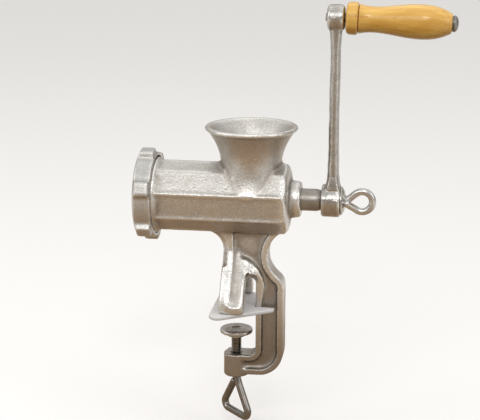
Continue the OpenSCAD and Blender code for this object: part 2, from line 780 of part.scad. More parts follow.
module ring_nut() {
    tip_r = norm([lobe_r, lobe_w / 2]) + 0.1;
    edge = 0.8;
    slope = 2;
    collar = 0.8;
    collar_r = ring_r - 0.4;
    color([0.8, 0.8, 0.79]) on_axis(ring_front_x) difference() {
        intersection() {
            linear_extrude(ring_len) lobed_outline();
            rotate_extrude() polygon([[0, 0], [ring_r - edge, 0], [ring_r, edge], [tip_r, edge + slope],
                [tip_r, ring_len - collar - edge], [tip_r - edge, ring_len - collar],
                [collar_r, ring_len - collar], [collar_r, ring_len], [0, ring_len]]);
        }
        translate([0, 0, -over]) cylinder(r = lip_r, h = ring_len);
        translate([0, 0, -slip]) cylinder(r1 = lip_r + over, r2 = lip_r, h = over);
        translate([0, 0, lip_t]) rotate_extrude() polygon(thread_outline(ring_bore_r + thread_depth,
            thread_depth, thread_pitch, 0, ring_len - lip_t + over));
    }
}

// Section of the crank's arm, with its long edges bevelled
module arm_section(w, thick) {
    t = thick / 2;
    h = w / 2;
    back = arm_bevel * 0.6;
    linear_extrude(slip) polygon([[-t, arm_bevel - h], [arm_bevel - t, -h], [t - back, -h],
        [t, arm_bevel - h], [t, h - arm_bevel], [t - back, h], [arm_bevel - t, h], [-t, h - arm_bevel]]);
}

// Round boss on the axis, with rounded rims
module round_boss(d, h, edge) {
    rotate_extrude() polygon(concat([[0, 0]], arc([d / 2 - edge, edge], edge, -90, 0, 4),
        arc([d / 2 - edge, h - edge], edge, 0, 90, 4), [[0, h]]));
}

module crank_arm() {
    hub_edge = 1.6;
    eye_edge = 3;
    spread = 3;
    root_flare = 4.4;
    eye_flare = 2.6;
    root_h = axis_h + hub_d * 0.4;
    neck_z = axis_h + hub_d * 0.85;
    eye_z = axis_h + crank_r;
    square = square_w + seat_clear;
    color(tin) difference() {
        union() {
            on_axis(hub_x) round_boss(hub_d, hub_len, hub_edge);
            hull() {
                translate([arm_x, 0, axis_h + hub_d * 0.3]) arm_section(arm_w_low, arm_t + 1.6);
                translate([arm_x, 0, eye_z - eye_d * 0.3]) arm_section(arm_w_high, arm_t);
            }
            hull() {
                translate([arm_x, 0, root_h]) arm_section(arm_w_low + spread, arm_t + root_flare);
                translate([arm_x, 0, neck_z]) arm_section(arm_w_low - spread / 6, arm_t + 1);
            }
            hull() {
                translate([arm_x, 0, eye_z - eye_d * 1.3]) arm_section(arm_w_high, arm_t);
                translate([arm_x, 0, eye_z - eye_d * 0.4]) arm_section(arm_w_high + 1, arm_t + eye_flare);
            }
            translate([arm_x - eye_len / 2, 0, axis_h + crank_r]) rotate([0, 90, 0])
                round_boss(eye_d, eye_len, eye_edge);
        }
        on_axis(hub_x - over) translate([-square / 2, -square / 2, 0])
            cube([square, square, hub_len + 2 * over]);
        on_grip() translate([0, 0, -eye_len]) cylinder(r = pin_r, h = 2 * eye_len);
    }
}

module crank_washer() {
    rim = 1.2;
    crown = 2;
    steps = 6;
    fall = washer_d / 2 - thumb_r - crown;
    color(steel) on_axis(washer_x) difference() {
        rotate_extrude() polygon(concat([[0, 0], [washer_d / 2, 0], [washer_d / 2, rim]],
            [for (k = [1:steps])
                [washer_d / 2 - fall * k / steps, rim + (washer_h - rim) * sin(90 * k / steps)]],
            [[0, washer_h]]));
        translate([0, 0, -over]) cylinder(r = thumb_r + run_clear, h = washer_h + 2 * over);
    }
}

module crank_thumbscrew() {
    cut = thumb_pitch * 0.4;
    collar_h = 2.4;
    collar_out = 1.2;
    collar_in = 0.5;
    strand_gap = 0.6;
    bend_r = thumb_loop_h / 2 - thumb_wire_d / 2;
    color(steel) {
        on_axis(square_end_x - thumb_depth) rotate_extrude()
            polygon(thread_outline(thumb_r, cut, thumb_pitch, 0, thumb_depth - over));
        on_axis(square_end_x - over - slip) cylinder(r = thumb_r, h = thumb_x - square_end_x + 2 * over);
        on_axis(thumb_x + face_clear)
            cylinder(r1 = thumb_r + collar_out, r2 = thumb_r - collar_in, h = collar_h);
        translate([thumb_x + 2 * over, 0, axis_h])
            finger_loop(thumb_loop_len, thumb_loop_h, thumb_wire_d, bend_r, 0.9, thumb_wire_d + strand_gap);
    }
}

module grip_pin() {
    tail = 1.2;
    tail_in = 0.8;
    brim = 0.6;
    head_z = eye_end + grip_end + grip_washer_t + face_clear * 2;
    dome = [for (a = [0:15:90]) [pin_head_d / 2 * cos(a), brim + (pin_head_h - brim) * sin(a)]];
    color(steel) on_grip() {
        translate([0, 0, -eye_end - tail]) cylinder(r1 = pin_r - tail_in, r2 = pin_r, h = tail);
        translate([0, 0, -eye_end]) cylinder(r = pin_r, h = eye_end + head_z);
        translate([0, 0, head_z]) rotate_extrude() polygon(concat([[0, 0], [pin_head_d / 2, 0]], dome));
    }
}

// Half outline of the grip: collar, groove, neck, belly and rounded end
function grip_outline() =
    let (r = grip_d / 2, cr = grip_collar_d / 2, nr = grip_neck_d / 2, er = grip_end_d / 2)
    let (groove = grip_collar_len, neck = grip_collar_len + 11, belly = grip_len * 0.7)
    let (edge = 3.2, lip = 2, step = 0.6, shoulder = 1.2, end_edge = 1.2, end_in = 1.2)
    let (run = neck - groove - step, fall = r - er)
    concat(
        arc([cr - edge, edge], edge, -90, 0, 4),
        arc([cr - lip, groove - lip], lip, 0, 70, 3),
        [[cr - lip, groove]],
        [for (k = [0:4]) [nr + (cr - shoulder - nr) * pow(1 - k / 4, 2), groove + step + run * k / 4]],
        [for (k = [1:8]) [nr + (r - nr) * (1 - cos(180 * k / 8)) / 2, neck + (belly - neck) * k / 8]],
        [for (k = [1:8]) [r - fall * pow(k / 8, 2.5), belly + (grip_len - end_edge - belly) * k / 8]],
        [[er - end_in, grip_len]]);

module wood_grip() {
    color([0.86, 0.62, 0.24]) on_grip() translate([0, 0, eye_end + grip_start]) difference() {
        rotate_extrude() polygon(concat([[0, 0]], grip_outline(), [[0, grip_len]]));
        translate([0, 0, -over]) cylinder(r = pin_r + run_clear, h = grip_len + 2 * over);
    }
}

module grip_washer() {
    brim = 0.6;
    color(steel) on_grip() translate([0, 0, eye_end + grip_end + face_clear]) difference() {
        cylinder(d = pin_head_d - brim, h = grip_washer_t);
        translate([0, 0, -over]) cylinder(r = pin_r, h = grip_washer_t + 2 * over);
    }
}

module clamp_screw() {
    cut = clamp_pitch * 0.45;
    bend_r = 5;
    loop_z = jaw_boss_low - clamp_neck;
    shoulder_z = press_low - face_clear;
    head_z = press_top - rivet_sink;
    color(steel) {
        translate([0, 0, loop_z]) rotate_extrude()
            polygon(thread_outline(clamp_r, cut, clamp_pitch, 0, shoulder_z - loop_z));
        translate([0, 0, shoulder_z - slip]) cylinder(r = spigot_r, h = head_z - shoulder_z);
        translate([0, 0, head_z - rivet_h])
            cylinder(r1 = spigot_r - slip, r2 = spigot_r + rivet_h, h = rivet_h);
        rotate([0, 0, -clamp_turn]) translate([0, 0, loop_z]) rotate([0, 90, 0])
            finger_loop(clamp_loop_len, clamp_loop_w, clamp_wire_d, bend_r, 0.78, 0);
    }
}

module pressure_plate() {
    edge = 1;
    sink_h = rivet_h + rivet_sink + 2 * run_clear;
    color(steel) difference() {
        union() {
            translate([0, 0, press_top - press_t]) round_boss(press_d, press_t, edge);
            translate([0, 0, press_low]) cylinder(d = press_hub_d, h = press_hub_h + over);
        }
        translate([0, 0, press_low - over])
            cylinder(r = spigot_r + run_clear, h = press_t + press_hub_h + 2 * over);
        translate([0, 0, press_top - sink_h])
            cylinder(r1 = spigot_r, r2 = spigot_r + sink_h + slip, h = sink_h + slip);
    }
}

body_casting();
locating_pin();
table_pad();
thrust_washer();
auger();
auger_stud();
knife();
grinding_plate();
ring_nut();
crank_arm();
crank_washer();
crank_thumbscrew();
grip_pin();
wood_grip();
grip_washer();
clamp_screw();
pressure_plate();
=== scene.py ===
"""Dresses a table-clamped meat grinder: tinned castings, bright steel wire and a turned beech grip."""

import logging
import math
from dataclasses import dataclass, field
from enum import Enum
from itertools import pairwise
from typing import Any, Callable, Optional, Sequence, Union

import bmesh
import bpy
from bmesh.types import BMEdge, BMesh, BMVert
from mathutils import Matrix, Vector, noise


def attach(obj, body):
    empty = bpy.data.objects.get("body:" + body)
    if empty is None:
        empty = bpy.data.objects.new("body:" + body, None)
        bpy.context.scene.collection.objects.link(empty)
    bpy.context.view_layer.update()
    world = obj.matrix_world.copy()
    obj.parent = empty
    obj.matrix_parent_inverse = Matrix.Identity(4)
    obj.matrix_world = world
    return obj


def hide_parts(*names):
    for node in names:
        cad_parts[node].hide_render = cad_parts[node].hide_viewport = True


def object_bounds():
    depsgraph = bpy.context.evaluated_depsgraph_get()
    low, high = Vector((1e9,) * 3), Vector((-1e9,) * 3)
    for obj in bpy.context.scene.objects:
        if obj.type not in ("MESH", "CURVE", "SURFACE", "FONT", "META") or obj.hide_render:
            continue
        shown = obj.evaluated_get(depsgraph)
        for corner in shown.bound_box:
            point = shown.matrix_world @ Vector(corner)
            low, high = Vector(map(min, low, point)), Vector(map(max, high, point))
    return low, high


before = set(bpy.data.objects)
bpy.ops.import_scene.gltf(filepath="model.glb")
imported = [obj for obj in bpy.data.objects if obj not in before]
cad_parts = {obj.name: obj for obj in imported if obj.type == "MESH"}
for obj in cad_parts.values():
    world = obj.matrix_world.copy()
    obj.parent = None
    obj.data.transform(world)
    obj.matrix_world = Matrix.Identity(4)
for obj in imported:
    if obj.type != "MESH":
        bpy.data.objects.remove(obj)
CAD_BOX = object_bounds()

LOG = logging.getLogger("grinder")
MM = 0.001  # metres in a millimetre
WELD = 0.002 * MM  # points closer than this become one
RELIEF = "relief"  # the mesh attribute that note_relief fills
AXIS_H = 89.0  # height of the barrel's axis, in millimetres
ON_AXIS = Vector((0.0, 0.0, AXIS_H * MM))
X_AXIS = Vector((1.0, 0.0, 0.0))
Z_AXIS = Vector((0.0, 0.0, 1.0))
THREAD_RISE = (0.0, 0.34, 0.5, 0.84)  # corners of a thread's ridge, in shares of the pitch
THREAD_SINK = 0.15  # how deep the ridge's root lies in the core, in millimetres
DOME_STEPS = 5  # rings in a wire's rounded end
OCTAVE_FADE = 1.0  # how fast the finer octaves of a roughness weaken
OCTAVE_STEP = 2.0  # how much finer each octave is than the last

# A Mix node repeats its sockets' names for each kind of value, so those for colours go by number.
MIX_FACTOR, MIX_A, MIX_B, MIX_RESULT = 0, 6, 7, 2

Point = tuple[float, float]
Triple = tuple[float, float, float]
Colour = tuple[float, float, float]
Node = bpy.types.Node
Tree = bpy.types.NodeTree
Socket = bpy.types.NodeSocket
Object = bpy.types.Object
Material = bpy.types.Material
Value = Union[float, Socket]
Share = Callable[[Vector], float]
Layer = tuple[Socket, float, Colour]


class Body(Enum):
    """The moving bodies that pieces ride on."""

    CASTING = "casting"
    DRIVE = "drive"
    GRIP = "grip"
    RING = "ring"
    WASHER = "washer"
    THUMBSCREW = "thumbscrew"
    FOOT = "pressure_foot"
    CLAMP = "clamp"


class Slot(Enum):
    """The record's material slots."""

    TINNED = "tinned_iron"
    BRIGHT = "bright_iron"
    STEEL = "steel"
    POLISHED = "polished_steel"
    WASHER = "washer_plastic"
    PAD = "pad_plastic"
    BEECH = "beech"


class Turn(Enum):
    """The direction that a turned surface's tool marks go round."""

    NONE = (0.0, 0.0, 0.0)
    ABOUT_X = (1.0, 0.0, 0.0)
    ABOUT_Z = (0.0, 0.0, 1.0)


# Shader wiring


class Graph:
    """A node tree that is being wired."""

    def __init__(self, tree: Tree) -> None:
        """Keeps the tree that the nodes go into."""
        self.tree = tree

    def add(self, kind: str, **settings: Any) -> Node:
        """Adds a node and sets its properties.

        Args:
            kind: The node's type name.
            settings: Properties to set on it.

        Returns:
            The new node.
        """
        node = self.tree.nodes.new(kind)
        for key, value in settings.items():
            setattr(node, key, value)
        return node

    def feed(self, socket: Socket, value: Any) -> None:
        """Links a socket's value, or sets it where the value is a constant.

        Args:
            socket: The input that is fed.
            value: A constant, or the socket that it comes from.
        """
        if isinstance(value, Socket):
            self.tree.links.new(value, socket)
        else:
            socket.default_value = value

    def fill(self, node: Node, values: dict[str, Any]) -> None:
        """Feeds several inputs of a node, by name."""
        for name, value in values.items():
            self.feed(node.inputs[name], value)

    def math(self, operation: str, a: Value, b: Value = 0.0) -> Socket:
        """Joins two values with an operation and keeps the result between 0 and 1.

        Args:
            operation: The Math node's operation.
            a: First value.
            b: Second value.

        Returns:
            The result's socket.
        """
        node = self.add("ShaderNodeMath", operation=operation, use_clamp=True)
        self.feed(node.inputs[0], a)
        self.feed(node.inputs[1], b)
        return node.outputs[0]

    def span(
        self, value: Value, low: float, high: float, to_low: float = 0.0, to_high: float = 1.0
    ) -> Socket:
        """Maps a value smoothly from one range to another.

        Args:
            value: What is mapped.
            low: Start of its range.
            high: End of its range.
            to_low: Result at the start.
            to_high: Result at the end.

        Returns:
            The result's socket.
        """
        node = self.add("ShaderNodeMapRange", interpolation_type="SMOOTHSTEP")
        for socket, item in zip(node.inputs, (value, low, high, to_low, to_high)):
            self.feed(socket, item)
        return node.outputs[0]

    def mix(self, factor: Value, a: Any, b: Any) -> Socket:
        """Mixes two colours.

        Args:
            factor: Share of the second colour.
            a: First colour, or its socket.
            b: Second colour, or its socket.

        Returns:
            The mixed colour's socket.
        """
        node = self.add("ShaderNodeMix", data_type="RGBA")
        self.feed(node.inputs[MIX_FACTOR], factor)
        self.feed(node.inputs[MIX_A], (*a, 1.0) if isinstance(a, tuple) else a)
        self.feed(node.inputs[MIX_B], (*b, 1.0) if isinstance(b, tuple) else b)
        return node.outputs[MIX_RESULT]

    def tint(self, colour: Any, layers: Sequence[Layer]) -> Socket:
        """Lays tones over a colour, one after another.

        Args:
            colour: The colour so far, or its socket.
            layers: Each layer's mask, the tone's largest share and the tone.

        Returns:
            The last colour's socket.
        """
        for mask, share, tone in layers:
            colour = self.mix(self.math("MULTIPLY", mask, share), colour, tone)
        return colour

    def parts(self, vector: Socket) -> Sequence[Socket]:
        """Splits a vector into its parts.

        Args:
            vector: The vector's socket.

        Returns:
            The sockets of X, Y and Z.
        """
        node = self.add("ShaderNodeSeparateXYZ")
        self.feed(node.inputs[0], vector)
        return node.outputs

    def noise(self, vector: Socket, scale: Value, detail: float = 2.0, rough: float = 0.5) -> Socket:
        """Adds a noise pattern.

        Args:
            vector: Where the pattern is read.
            scale: Its cells in a metre.
            detail: Octaves.
            rough: Weight of the finer octaves.

        Returns:
            The pattern's value.
        """
        node = self.add("ShaderNodeTexNoise")
        self.fill(node, {"Vector": vector, "Scale": scale, "Detail": detail, "Roughness": rough})
        return node.outputs[0]

    def object_point(self, scale: Triple = (1.0, 1.0, 1.0), turn: Triple = (0.0, 0.0, 0.0)) -> Socket:
        """Gives the place on the object, stretched and turned.

        Args:
            scale: Stretch along each axis.
            turn: Turn about each axis, in radians.

        Returns:
            The vector's socket.
        """
        place = self.add("ShaderNodeTexCoord").outputs["Object"]
        mapping = self.add("ShaderNodeMapping", vector_type="POINT")
        self.fill(mapping, {"Vector": place, "Rotation": turn, "Scale": scale})
        return mapping.outputs[0]

    def attribute(self, name: str) -> Socket:
        """Reads a value that is noted on the piece's own mesh."""
        return self.add("ShaderNodeAttribute", attribute_name=name).outputs["Fac"]

    def bump(self, height: Socket, depth: float) -> Socket:
        """Turns a height into a bumped normal.

        Args:
            height: The height's socket, from 0 to 1.
            depth: How deep a height of 1 is, in metres.

        Returns:
            The normal's socket.
        """
        node = self.add("ShaderNodeBump")
        self.fill(node, {"Strength": 1.0, "Distance": depth, "Height": height})
        return node.outputs["Normal"]

    def place(self, tree: Tree, **values: float) -> Node:
        """Places a node group with its own values.

        Args:
            tree: The group's tree.
            values: Input values by name, with _ for a space.

        Returns:
            The group's node.
        """
        node = self.add("ShaderNodeGroup", node_tree=tree)
        for key, value in values.items():
            node.inputs[key.replace("_", " ")].default_value = value
        return node


def new_group(name: str, inputs: dict[str, float], outputs: Sequence[str]) -> tuple[Graph, Node, Node]:
    """Makes an empty node group with float sockets.

    Args:
        name: The group's name.
        inputs: Input names with their default values.
        outputs: Output names.

    Returns:
        The group's graph, its input node and its output node.
    """
    tree = bpy.data.node_groups.new(name, "ShaderNodeTree")
    for label, value in inputs.items():
        socket = tree.interface.new_socket(name=label, in_out="INPUT", socket_type="NodeSocketFloat")
        socket.default_value = value
    for label in outputs:
        tree.interface.new_socket(name=label, in_out="OUTPUT", socket_type="NodeSocketFloat")
    graph = Graph(tree)
    return graph, graph.add("NodeGroupInput"), graph.add("NodeGroupOutput")


def cast_grain_group() -> Tree:
    """Makes the grain of a sand casting under its coat of tin.

    Returns:
        A group that puts out the grain's height, a slow mottle, the grain itself, its bright points and its
        dark specks.
    """
    name = "cast_grain"
    if name in bpy.data.node_groups:
        return bpy.data.node_groups[name]
    scales = {"Pebble Scale": 700.0, "Lump Scale": 160.0, "Mottle Scale": 50.0}
    graph, given, out = new_group(name, scales, ("Height", "Mottle", "Grain", "Glint", "Speck"))
    point = graph.object_point()
    pebble = graph.noise(point, given.outputs["Pebble Scale"], detail=2.5, rough=0.6)
    lump = graph.noise(point, given.outputs["Lump Scale"], detail=2.0)
    mottle = graph.noise(point, given.outputs["Mottle Scale"], detail=5.0, rough=0.62)
    both = graph.math("MULTIPLY_ADD", pebble, 0.55)
    graph.feed(both.node.inputs[2], graph.math("MULTIPLY", lump, 0.45))
    masks = {
        "Height": both,
        "Mottle": graph.span(mottle, 0.3, 0.7),
        "Grain": graph.span(pebble, 0.34, 0.66),
        "Glint": graph.span(pebble, 0.42, 0.28),
        "Speck": graph.span(pebble, 0.62, 0.78),
    }
    graph.fill(out, masks)
    return graph.tree


def edge_hollow_under_group() -> Tree:
    """Makes masks for sharp edges, hollows and faces that look down; the finishes use them for wear and painted
    highlight, for darkening and for painted shade.

    Returns:
        A group that puts out the three masks.
    """
    name = "ageing"
    if name in bpy.data.node_groups:
        return bpy.data.node_groups[name]
    even = 0.5
    graph, given, out = new_group(name, {"Edge Width": 0.06}, ("Edge", "Hollow", "Under"))
    point = graph.add("ShaderNodeNewGeometry").outputs["Pointiness"]
    width = given.outputs["Edge Width"]
    facing = graph.parts(graph.add("ShaderNodeTexCoord").outputs["Normal"])
    masks = {
        "Edge": graph.math("DIVIDE", graph.math("SUBTRACT", point, even), width),
        "Hollow": graph.math("DIVIDE", graph.math("SUBTRACT", even, point), width),
        # Faces that look down, which the cast finish darkens and warms as painted shade and painted reflection.
        "Under": graph.span(facing[2], 0.15, -0.7),
    }
    graph.fill(out, masks)
    return graph.tree


# Finishes


@dataclass(frozen=True)
class Finish:
    """What every finish has: a name and a way to make its material."""

    name: str

    def material(self) -> Material:
        """Gives the finish's material, made on first use.

        Returns:
            The material.
        """
        if self.name in bpy.data.materials:
            return bpy.data.materials[self.name]
        made = bpy.data.materials.new(self.name)
        made.use_nodes = True
        self.wire(Graph(made.node_tree), made.node_tree.nodes["Principled BSDF"])
        return made

    def wire(self, graph: Graph, shader: Node) -> None:
        """Wires the finish into its shader.

        Args:
            graph: The material's graph.
            shader: Its Principled BSDF.
        """
        raise NotImplementedError


@dataclass(frozen=True)
class CastFinish(Finish):
    """Cast iron under hot-dipped tin: a pebbly metal skin, with wear and painted highlight on edges, painted shade
    in recesses and at the lower end, and painted shade and warm reflection on faces that look down.
    """

    bright: Colour = (0.70, 0.685, 0.655)
    dull: Colour = (0.62, 0.60, 0.57)
    # Painted shade and painted warm reflection on faces that look down.
    under: Colour = (0.45, 0.39, 0.33)
    # Dark tone for the grain's specks and for sharp inner corners.
    dark_tone: Colour = (0.28, 0.24, 0.20)
    glint: Colour = (0.88, 0.87, 0.85)
    # Lighter on proud edges: partly wear, partly painted highlight.
    worn_highlight: Colour = (0.86, 0.85, 0.83)
    # Painted shade in recesses.
    recess_shade: Colour = (0.34, 0.305, 0.27)
    # Painted shade towards the lower end.
    low: Colour = (0.28, 0.25, 0.22)
    smooth: float = 0.33
    coarse: float = 0.43
    pebble: float = 850.0
    lump: float = 220.0
    depth: float = 0.0004
    edge_width: float = 0.035
    grain_tone: float = 0.66
    grain_share: float = 0.5
    under_shade_share: float = 0.75
    speck_share: float = 0.35
    glint_share: float = 0.3
    crease_share: float = 0.12
    sunk: Point = (-0.12, -0.9)
    recess_shade_share: float = 0.7
    proud: Point = (0.10, 0.75)
    worn_highlight_share: float = 0.55
    worn_polish: float = 0.12
    low_shade_span: Point = (0.03, -0.04)
    low_shade_share: float = 0.0

    def wire(self, graph: Graph, shader: Node) -> None:
        """Wires grain, mottle, edges with wear and painted highlight, hollows with painted shade, painted shade
        and reflection on faces that look down, and painted shade towards the lower end.

        Args:
            graph: The material's graph.
            shader: Its Principled BSDF.
        """
        grain = graph.place(cast_grain_group(), Pebble_Scale=self.pebble, Lump_Scale=self.lump).outputs
        form_masks = graph.place(edge_hollow_under_group(), Edge_Width=self.edge_width).outputs
        relief = graph.attribute(RELIEF)
        edge = graph.math("MAXIMUM", form_masks["Edge"], graph.span(relief, *self.proud))
        shade = tuple(part * self.grain_tone for part in self.dull)
        layers = [
            (grain["Grain"], self.grain_share, shade),
            # Painted shade and painted warm reflection on faces that look down.
            (form_masks["Under"], self.under_shade_share, self.under),
            (grain["Speck"], self.speck_share, self.dark_tone),
            (grain["Glint"], self.glint_share, self.glint),
            # Darker in sharp inner corners.
            (form_masks["Hollow"], self.crease_share, self.dark_tone),
            # Painted shade in recesses, by how far the skin lies below the shape around it.
            (graph.span(relief, *self.sunk), self.recess_shade_share, self.recess_shade),
            # Proud and sharp edges turn lighter: partly wear, partly painted highlight.
            (edge, self.worn_highlight_share, self.worn_highlight),
        ]
        # Painted shade: darker towards the lower end, by height.
        if self.low_shade_share > 0.0:
            height = graph.parts(graph.object_point())[2]
            layers.append((graph.span(height, *self.low_shade_span), self.low_shade_share, self.low))
        rough = graph.span(grain["Mottle"], 0.0, 1.0, self.smooth, self.coarse)
        look = {
            "Base Color": graph.tint(graph.mix(grain["Mottle"], self.bright, self.dull), layers),
            "Roughness": graph.math("SUBTRACT", rough, graph.math("MULTIPLY", edge, self.worn_polish)),
            "Metallic": 1.0,
            "Normal": graph.bump(grain["Height"], self.depth),
        }
        graph.fill(shader, look)


@dataclass(frozen=True)
class SteelFinish(Finish):
    """Drawn, turned or polished steel."""

    base: Colour = (0.66, 0.65, 0.63)
    dull: Colour = (0.54, 0.525, 0.50)
    # Darker tone for sharp inner corners.
    crease_tone: Colour = (0.22, 0.19, 0.16)
    crease_share: float = 0.4
    smooth: float = 0.16
    coarse: float = 0.28
    turn: Turn = Turn.NONE
    ridge: float = 0.000012
    line_scale: float = 2600.0
    line_stretch: float = 0.02

    def wire(self, graph: Graph, shader: Node) -> None:
        """Wires faint smears, tool marks and small scratches.

        Args:
            graph: The material's graph.
            shader: Its Principled BSDF.
        """
        scales = {"Pebble_Scale": 1500.0, "Lump_Scale": 420.0, "Mottle_Scale": 140.0}
        grain = graph.place(cast_grain_group(), **scales).outputs
        form_masks = graph.place(edge_hollow_under_group(), Edge_Width=0.09).outputs
        colour = graph.mix(grain["Mottle"], self.base, self.dull)
        height = grain["Height"]
        if self.turn is not Turn.NONE:
            stretch = tuple(1.0 if part else self.line_stretch for part in self.turn.value)
            height = graph.noise(graph.object_point(stretch), self.line_scale, detail=3.0, rough=0.7)
        # Darker in sharp inner corners.
        look = {
            "Base Color": graph.tint(colour, [(form_masks["Hollow"], self.crease_share, self.crease_tone)]),
            "Roughness": graph.span(grain["Mottle"], 0.0, 1.0, self.smooth, self.coarse),
            "Metallic": 1.0,
            "Normal": graph.bump(height, self.ridge),
        }
        graph.fill(shader, look)


@dataclass(frozen=True)
class WoodFinish(Finish):
    """Turned beech under a clear varnish, with its grain along the grip."""

    light: Colour = (0.92, 0.60, 0.165)
    dark: Colour = (0.72, 0.40, 0.075)
    fleck: Colour = (0.30, 0.115, 0.018)
    tilt: float = 0.0349
    cloud_share: float = 0.35
    fine_share: float = 0.45
    fleck_share: float = 0.6
    groove_share: float = 0.9
    smooth: float = 0.34
    coarse: float = 0.52
    varnish: float = 0.7
    varnish_rough: float = 0.08
    pore_depth: float = 0.00006

    def wire(self, graph: Graph, shader: Node) -> None:
        """Wires growth streaks, short dark flecks, pores and the varnish.

        Args:
            graph: The material's graph.
            shader: Its Principled BSDF.
        """

        def streaks(stretch: float, scale: float, detail: float, rough: float) -> Socket:
            """Gives a noise that is drawn out along the grip."""
            point = graph.object_point((stretch, 1.0, 1.0), (0.0, -self.tilt, 0.0))
            return graph.noise(point, scale, detail, rough)

        broad = streaks(stretch=0.10, scale=260.0, detail=4.0, rough=0.6)
        fine = streaks(stretch=0.05, scale=1500.0, detail=3.0, rough=0.65)
        rays = streaks(stretch=0.16, scale=900.0, detail=1.5, rough=0.5)
        cloud = streaks(stretch=0.5, scale=60.0, detail=2.0, rough=0.5)
        form_masks = graph.place(edge_hollow_under_group(), Edge_Width=0.05).outputs
        layers = [
            (graph.span(cloud, 0.35, 0.75), self.cloud_share, self.dark),
            (graph.span(fine, 0.50, 0.80), self.fine_share, self.dark),
            (graph.span(rays, 0.66, 0.76), self.fleck_share, self.fleck),
            (form_masks["Hollow"], self.groove_share, self.fleck),
        ]
        look = {
            "Base Color": graph.tint(graph.mix(graph.span(broad, 0.34, 0.70), self.light, self.dark), layers),
            "Roughness": graph.span(fine, 0.3, 0.8, self.smooth, self.coarse),
            "Coat Weight": self.varnish,
            "Coat Roughness": self.varnish_rough,
            "Normal": graph.bump(fine, self.pore_depth),
        }
        graph.fill(shader, look)


@dataclass(frozen=True)
class PlasticFinish(Finish):
    """Moulded plastic, milky or solid."""

    base: Colour = (0.80, 0.80, 0.80)
    shade: Colour = (0.70, 0.70, 0.71)
    rough: float = 0.36
    smear: float = 0.14
    through: float = 0.0
    milky: float = 0.0
    depth: float = 0.00006

    def wire(self, graph: Graph, shader: Node) -> None:
        """Wires a faint mould texture, smears and the light that passes through.

        Args:
            graph: The material's graph.
            shader: Its Principled BSDF.
        """
        scales = {"Pebble_Scale": 1100.0, "Lump_Scale": 210.0, "Mottle_Scale": 38.0}
        grain = graph.place(cast_grain_group(), **scales).outputs
        look = {
            "Base Color": graph.mix(grain["Mottle"], self.base, self.shade),
            "Roughness": graph.span(grain["Mottle"], 0.0, 1.0, self.rough, self.rough + self.smear),
            "Metallic": 0.0,
            "IOR": 1.5,
            "Transmission Weight": self.through,
            "Subsurface Weight": self.milky,
            "Subsurface Radius": (0.9, 0.9, 1.0),
            "Subsurface Scale": 0.004,
            "Normal": graph.bump(grain["Height"], self.depth),
        }
        graph.fill(shader, look)


@dataclass(frozen=True)
class FloorFinish(Finish):
    """A plain pale floor. It sends little light back, and metal mirrors it in a warm tone in front of the part."""

    base: Colour = (0.98, 0.975, 0.97)
    bounced: Colour = (0.17, 0.12, 0.08)
    warm: Colour = (0.50, 0.39, 0.285)
    around: Colour = (0.84, 0.815, 0.78)
    warm_depth: Point = (0.35, 0.15)
    warm_width: Point = (0.5, 0.2)
    rough: float = 0.9

    def wire(self, graph: Graph, shader: Node) -> None:
        """Wires a plain matt colour and the tone of the light that it sends back.

        Args:
            graph: The material's graph.
            shader: Its Principled BSDF.
        """
        place = graph.parts(graph.object_point())
        front = graph.span(place[1], *self.warm_depth)
        width = graph.span(graph.math("ABSOLUTE", place[0]), *self.warm_width)
        mirrored = graph.mix(graph.math("MULTIPLY", front, width), self.around, self.warm)
        path = graph.add("ShaderNodeLightPath").outputs
        sent = graph.mix(path["Is Diffuse Ray"], mirrored, self.bounced)
        colour = graph.mix(path["Is Camera Ray"], sent, self.base)
        graph.fill(shader, {"Base Color": colour, "Roughness": self.rough})


# The main casting takes painted shade towards its lower end.
TINNED = CastFinish("tinned_casting", low_shade_share=0.7)
TINNED_ARM = CastFinish(
    "tinned_arm", bright=(0.54, 0.525, 0.50), dull=(0.45, 0.435, 0.41), smooth=0.2, coarse=0.32,
    pebble=900.0, lump=260.0, glint_share=0.1, under_shade_share=0.6,
)
BRIGHT_RING = CastFinish(
    "bright_ring", bright=(0.64, 0.635, 0.62), dull=(0.56, 0.55, 0.53), smooth=0.38, coarse=0.48,
    pebble=950.0, lump=260.0, depth=0.0003, grain_share=0.35, under_shade_share=0.5,
)
BRIGHT_SCREW = CastFinish(
    "bright_screw", bright=(0.66, 0.65, 0.62), smooth=0.3, coarse=0.46, depth=0.0003, under_shade_share=0.3
)
JOURNAL = SteelFinish(
    "turned_journal", base=(0.41, 0.39, 0.36), dull=(0.33, 0.31, 0.285), smooth=0.34, coarse=0.46,
    turn=Turn.ABOUT_X, ridge=0.00006,
)
POLISHED = SteelFinish(
    "polished_wire", base=(0.68, 0.675, 0.66), dull=(0.58, 0.575, 0.56), smooth=0.13, coarse=0.22
)
# A darker copy of the polished wire: painted shade on the clamp screw and its loop.
SHADED_SCREW_WIRE = SteelFinish(
    "shaded_polished_screw", base=(0.33, 0.315, 0.295), dull=(0.25, 0.235, 0.215), smooth=0.14, coarse=0.24
)
CUT_STEEL = SteelFinish("cut_steel", base=(0.60, 0.59, 0.57), dull=(0.50, 0.485, 0.46), smooth=0.24, coarse=0.38)
TURNED_STEEL = SteelFinish(
    "turned_steel", base=(0.60, 0.585, 0.56), dull=(0.50, 0.485, 0.46), smooth=0.24, coarse=0.36,
    turn=Turn.ABOUT_Z, ridge=0.00002,
)
PIN_STEEL = SteelFinish("pin_steel", base=(0.36, 0.35, 0.335), dull=(0.27, 0.26, 0.245), smooth=0.28, coarse=0.42)
BEECH = WoodFinish("varnished_beech")
MILKY_PAD = PlasticFinish(
    "milky_pad", base=(0.90, 0.90, 0.91), shade=(0.84, 0.84, 0.86), through=0.12, milky=0.5
)
FIBRE = PlasticFinish("washer_fibre", base=(0.20, 0.19, 0.18), shade=(0.13, 0.125, 0.12), rough=0.42)
FLOOR = FloorFinish("pale_floor")


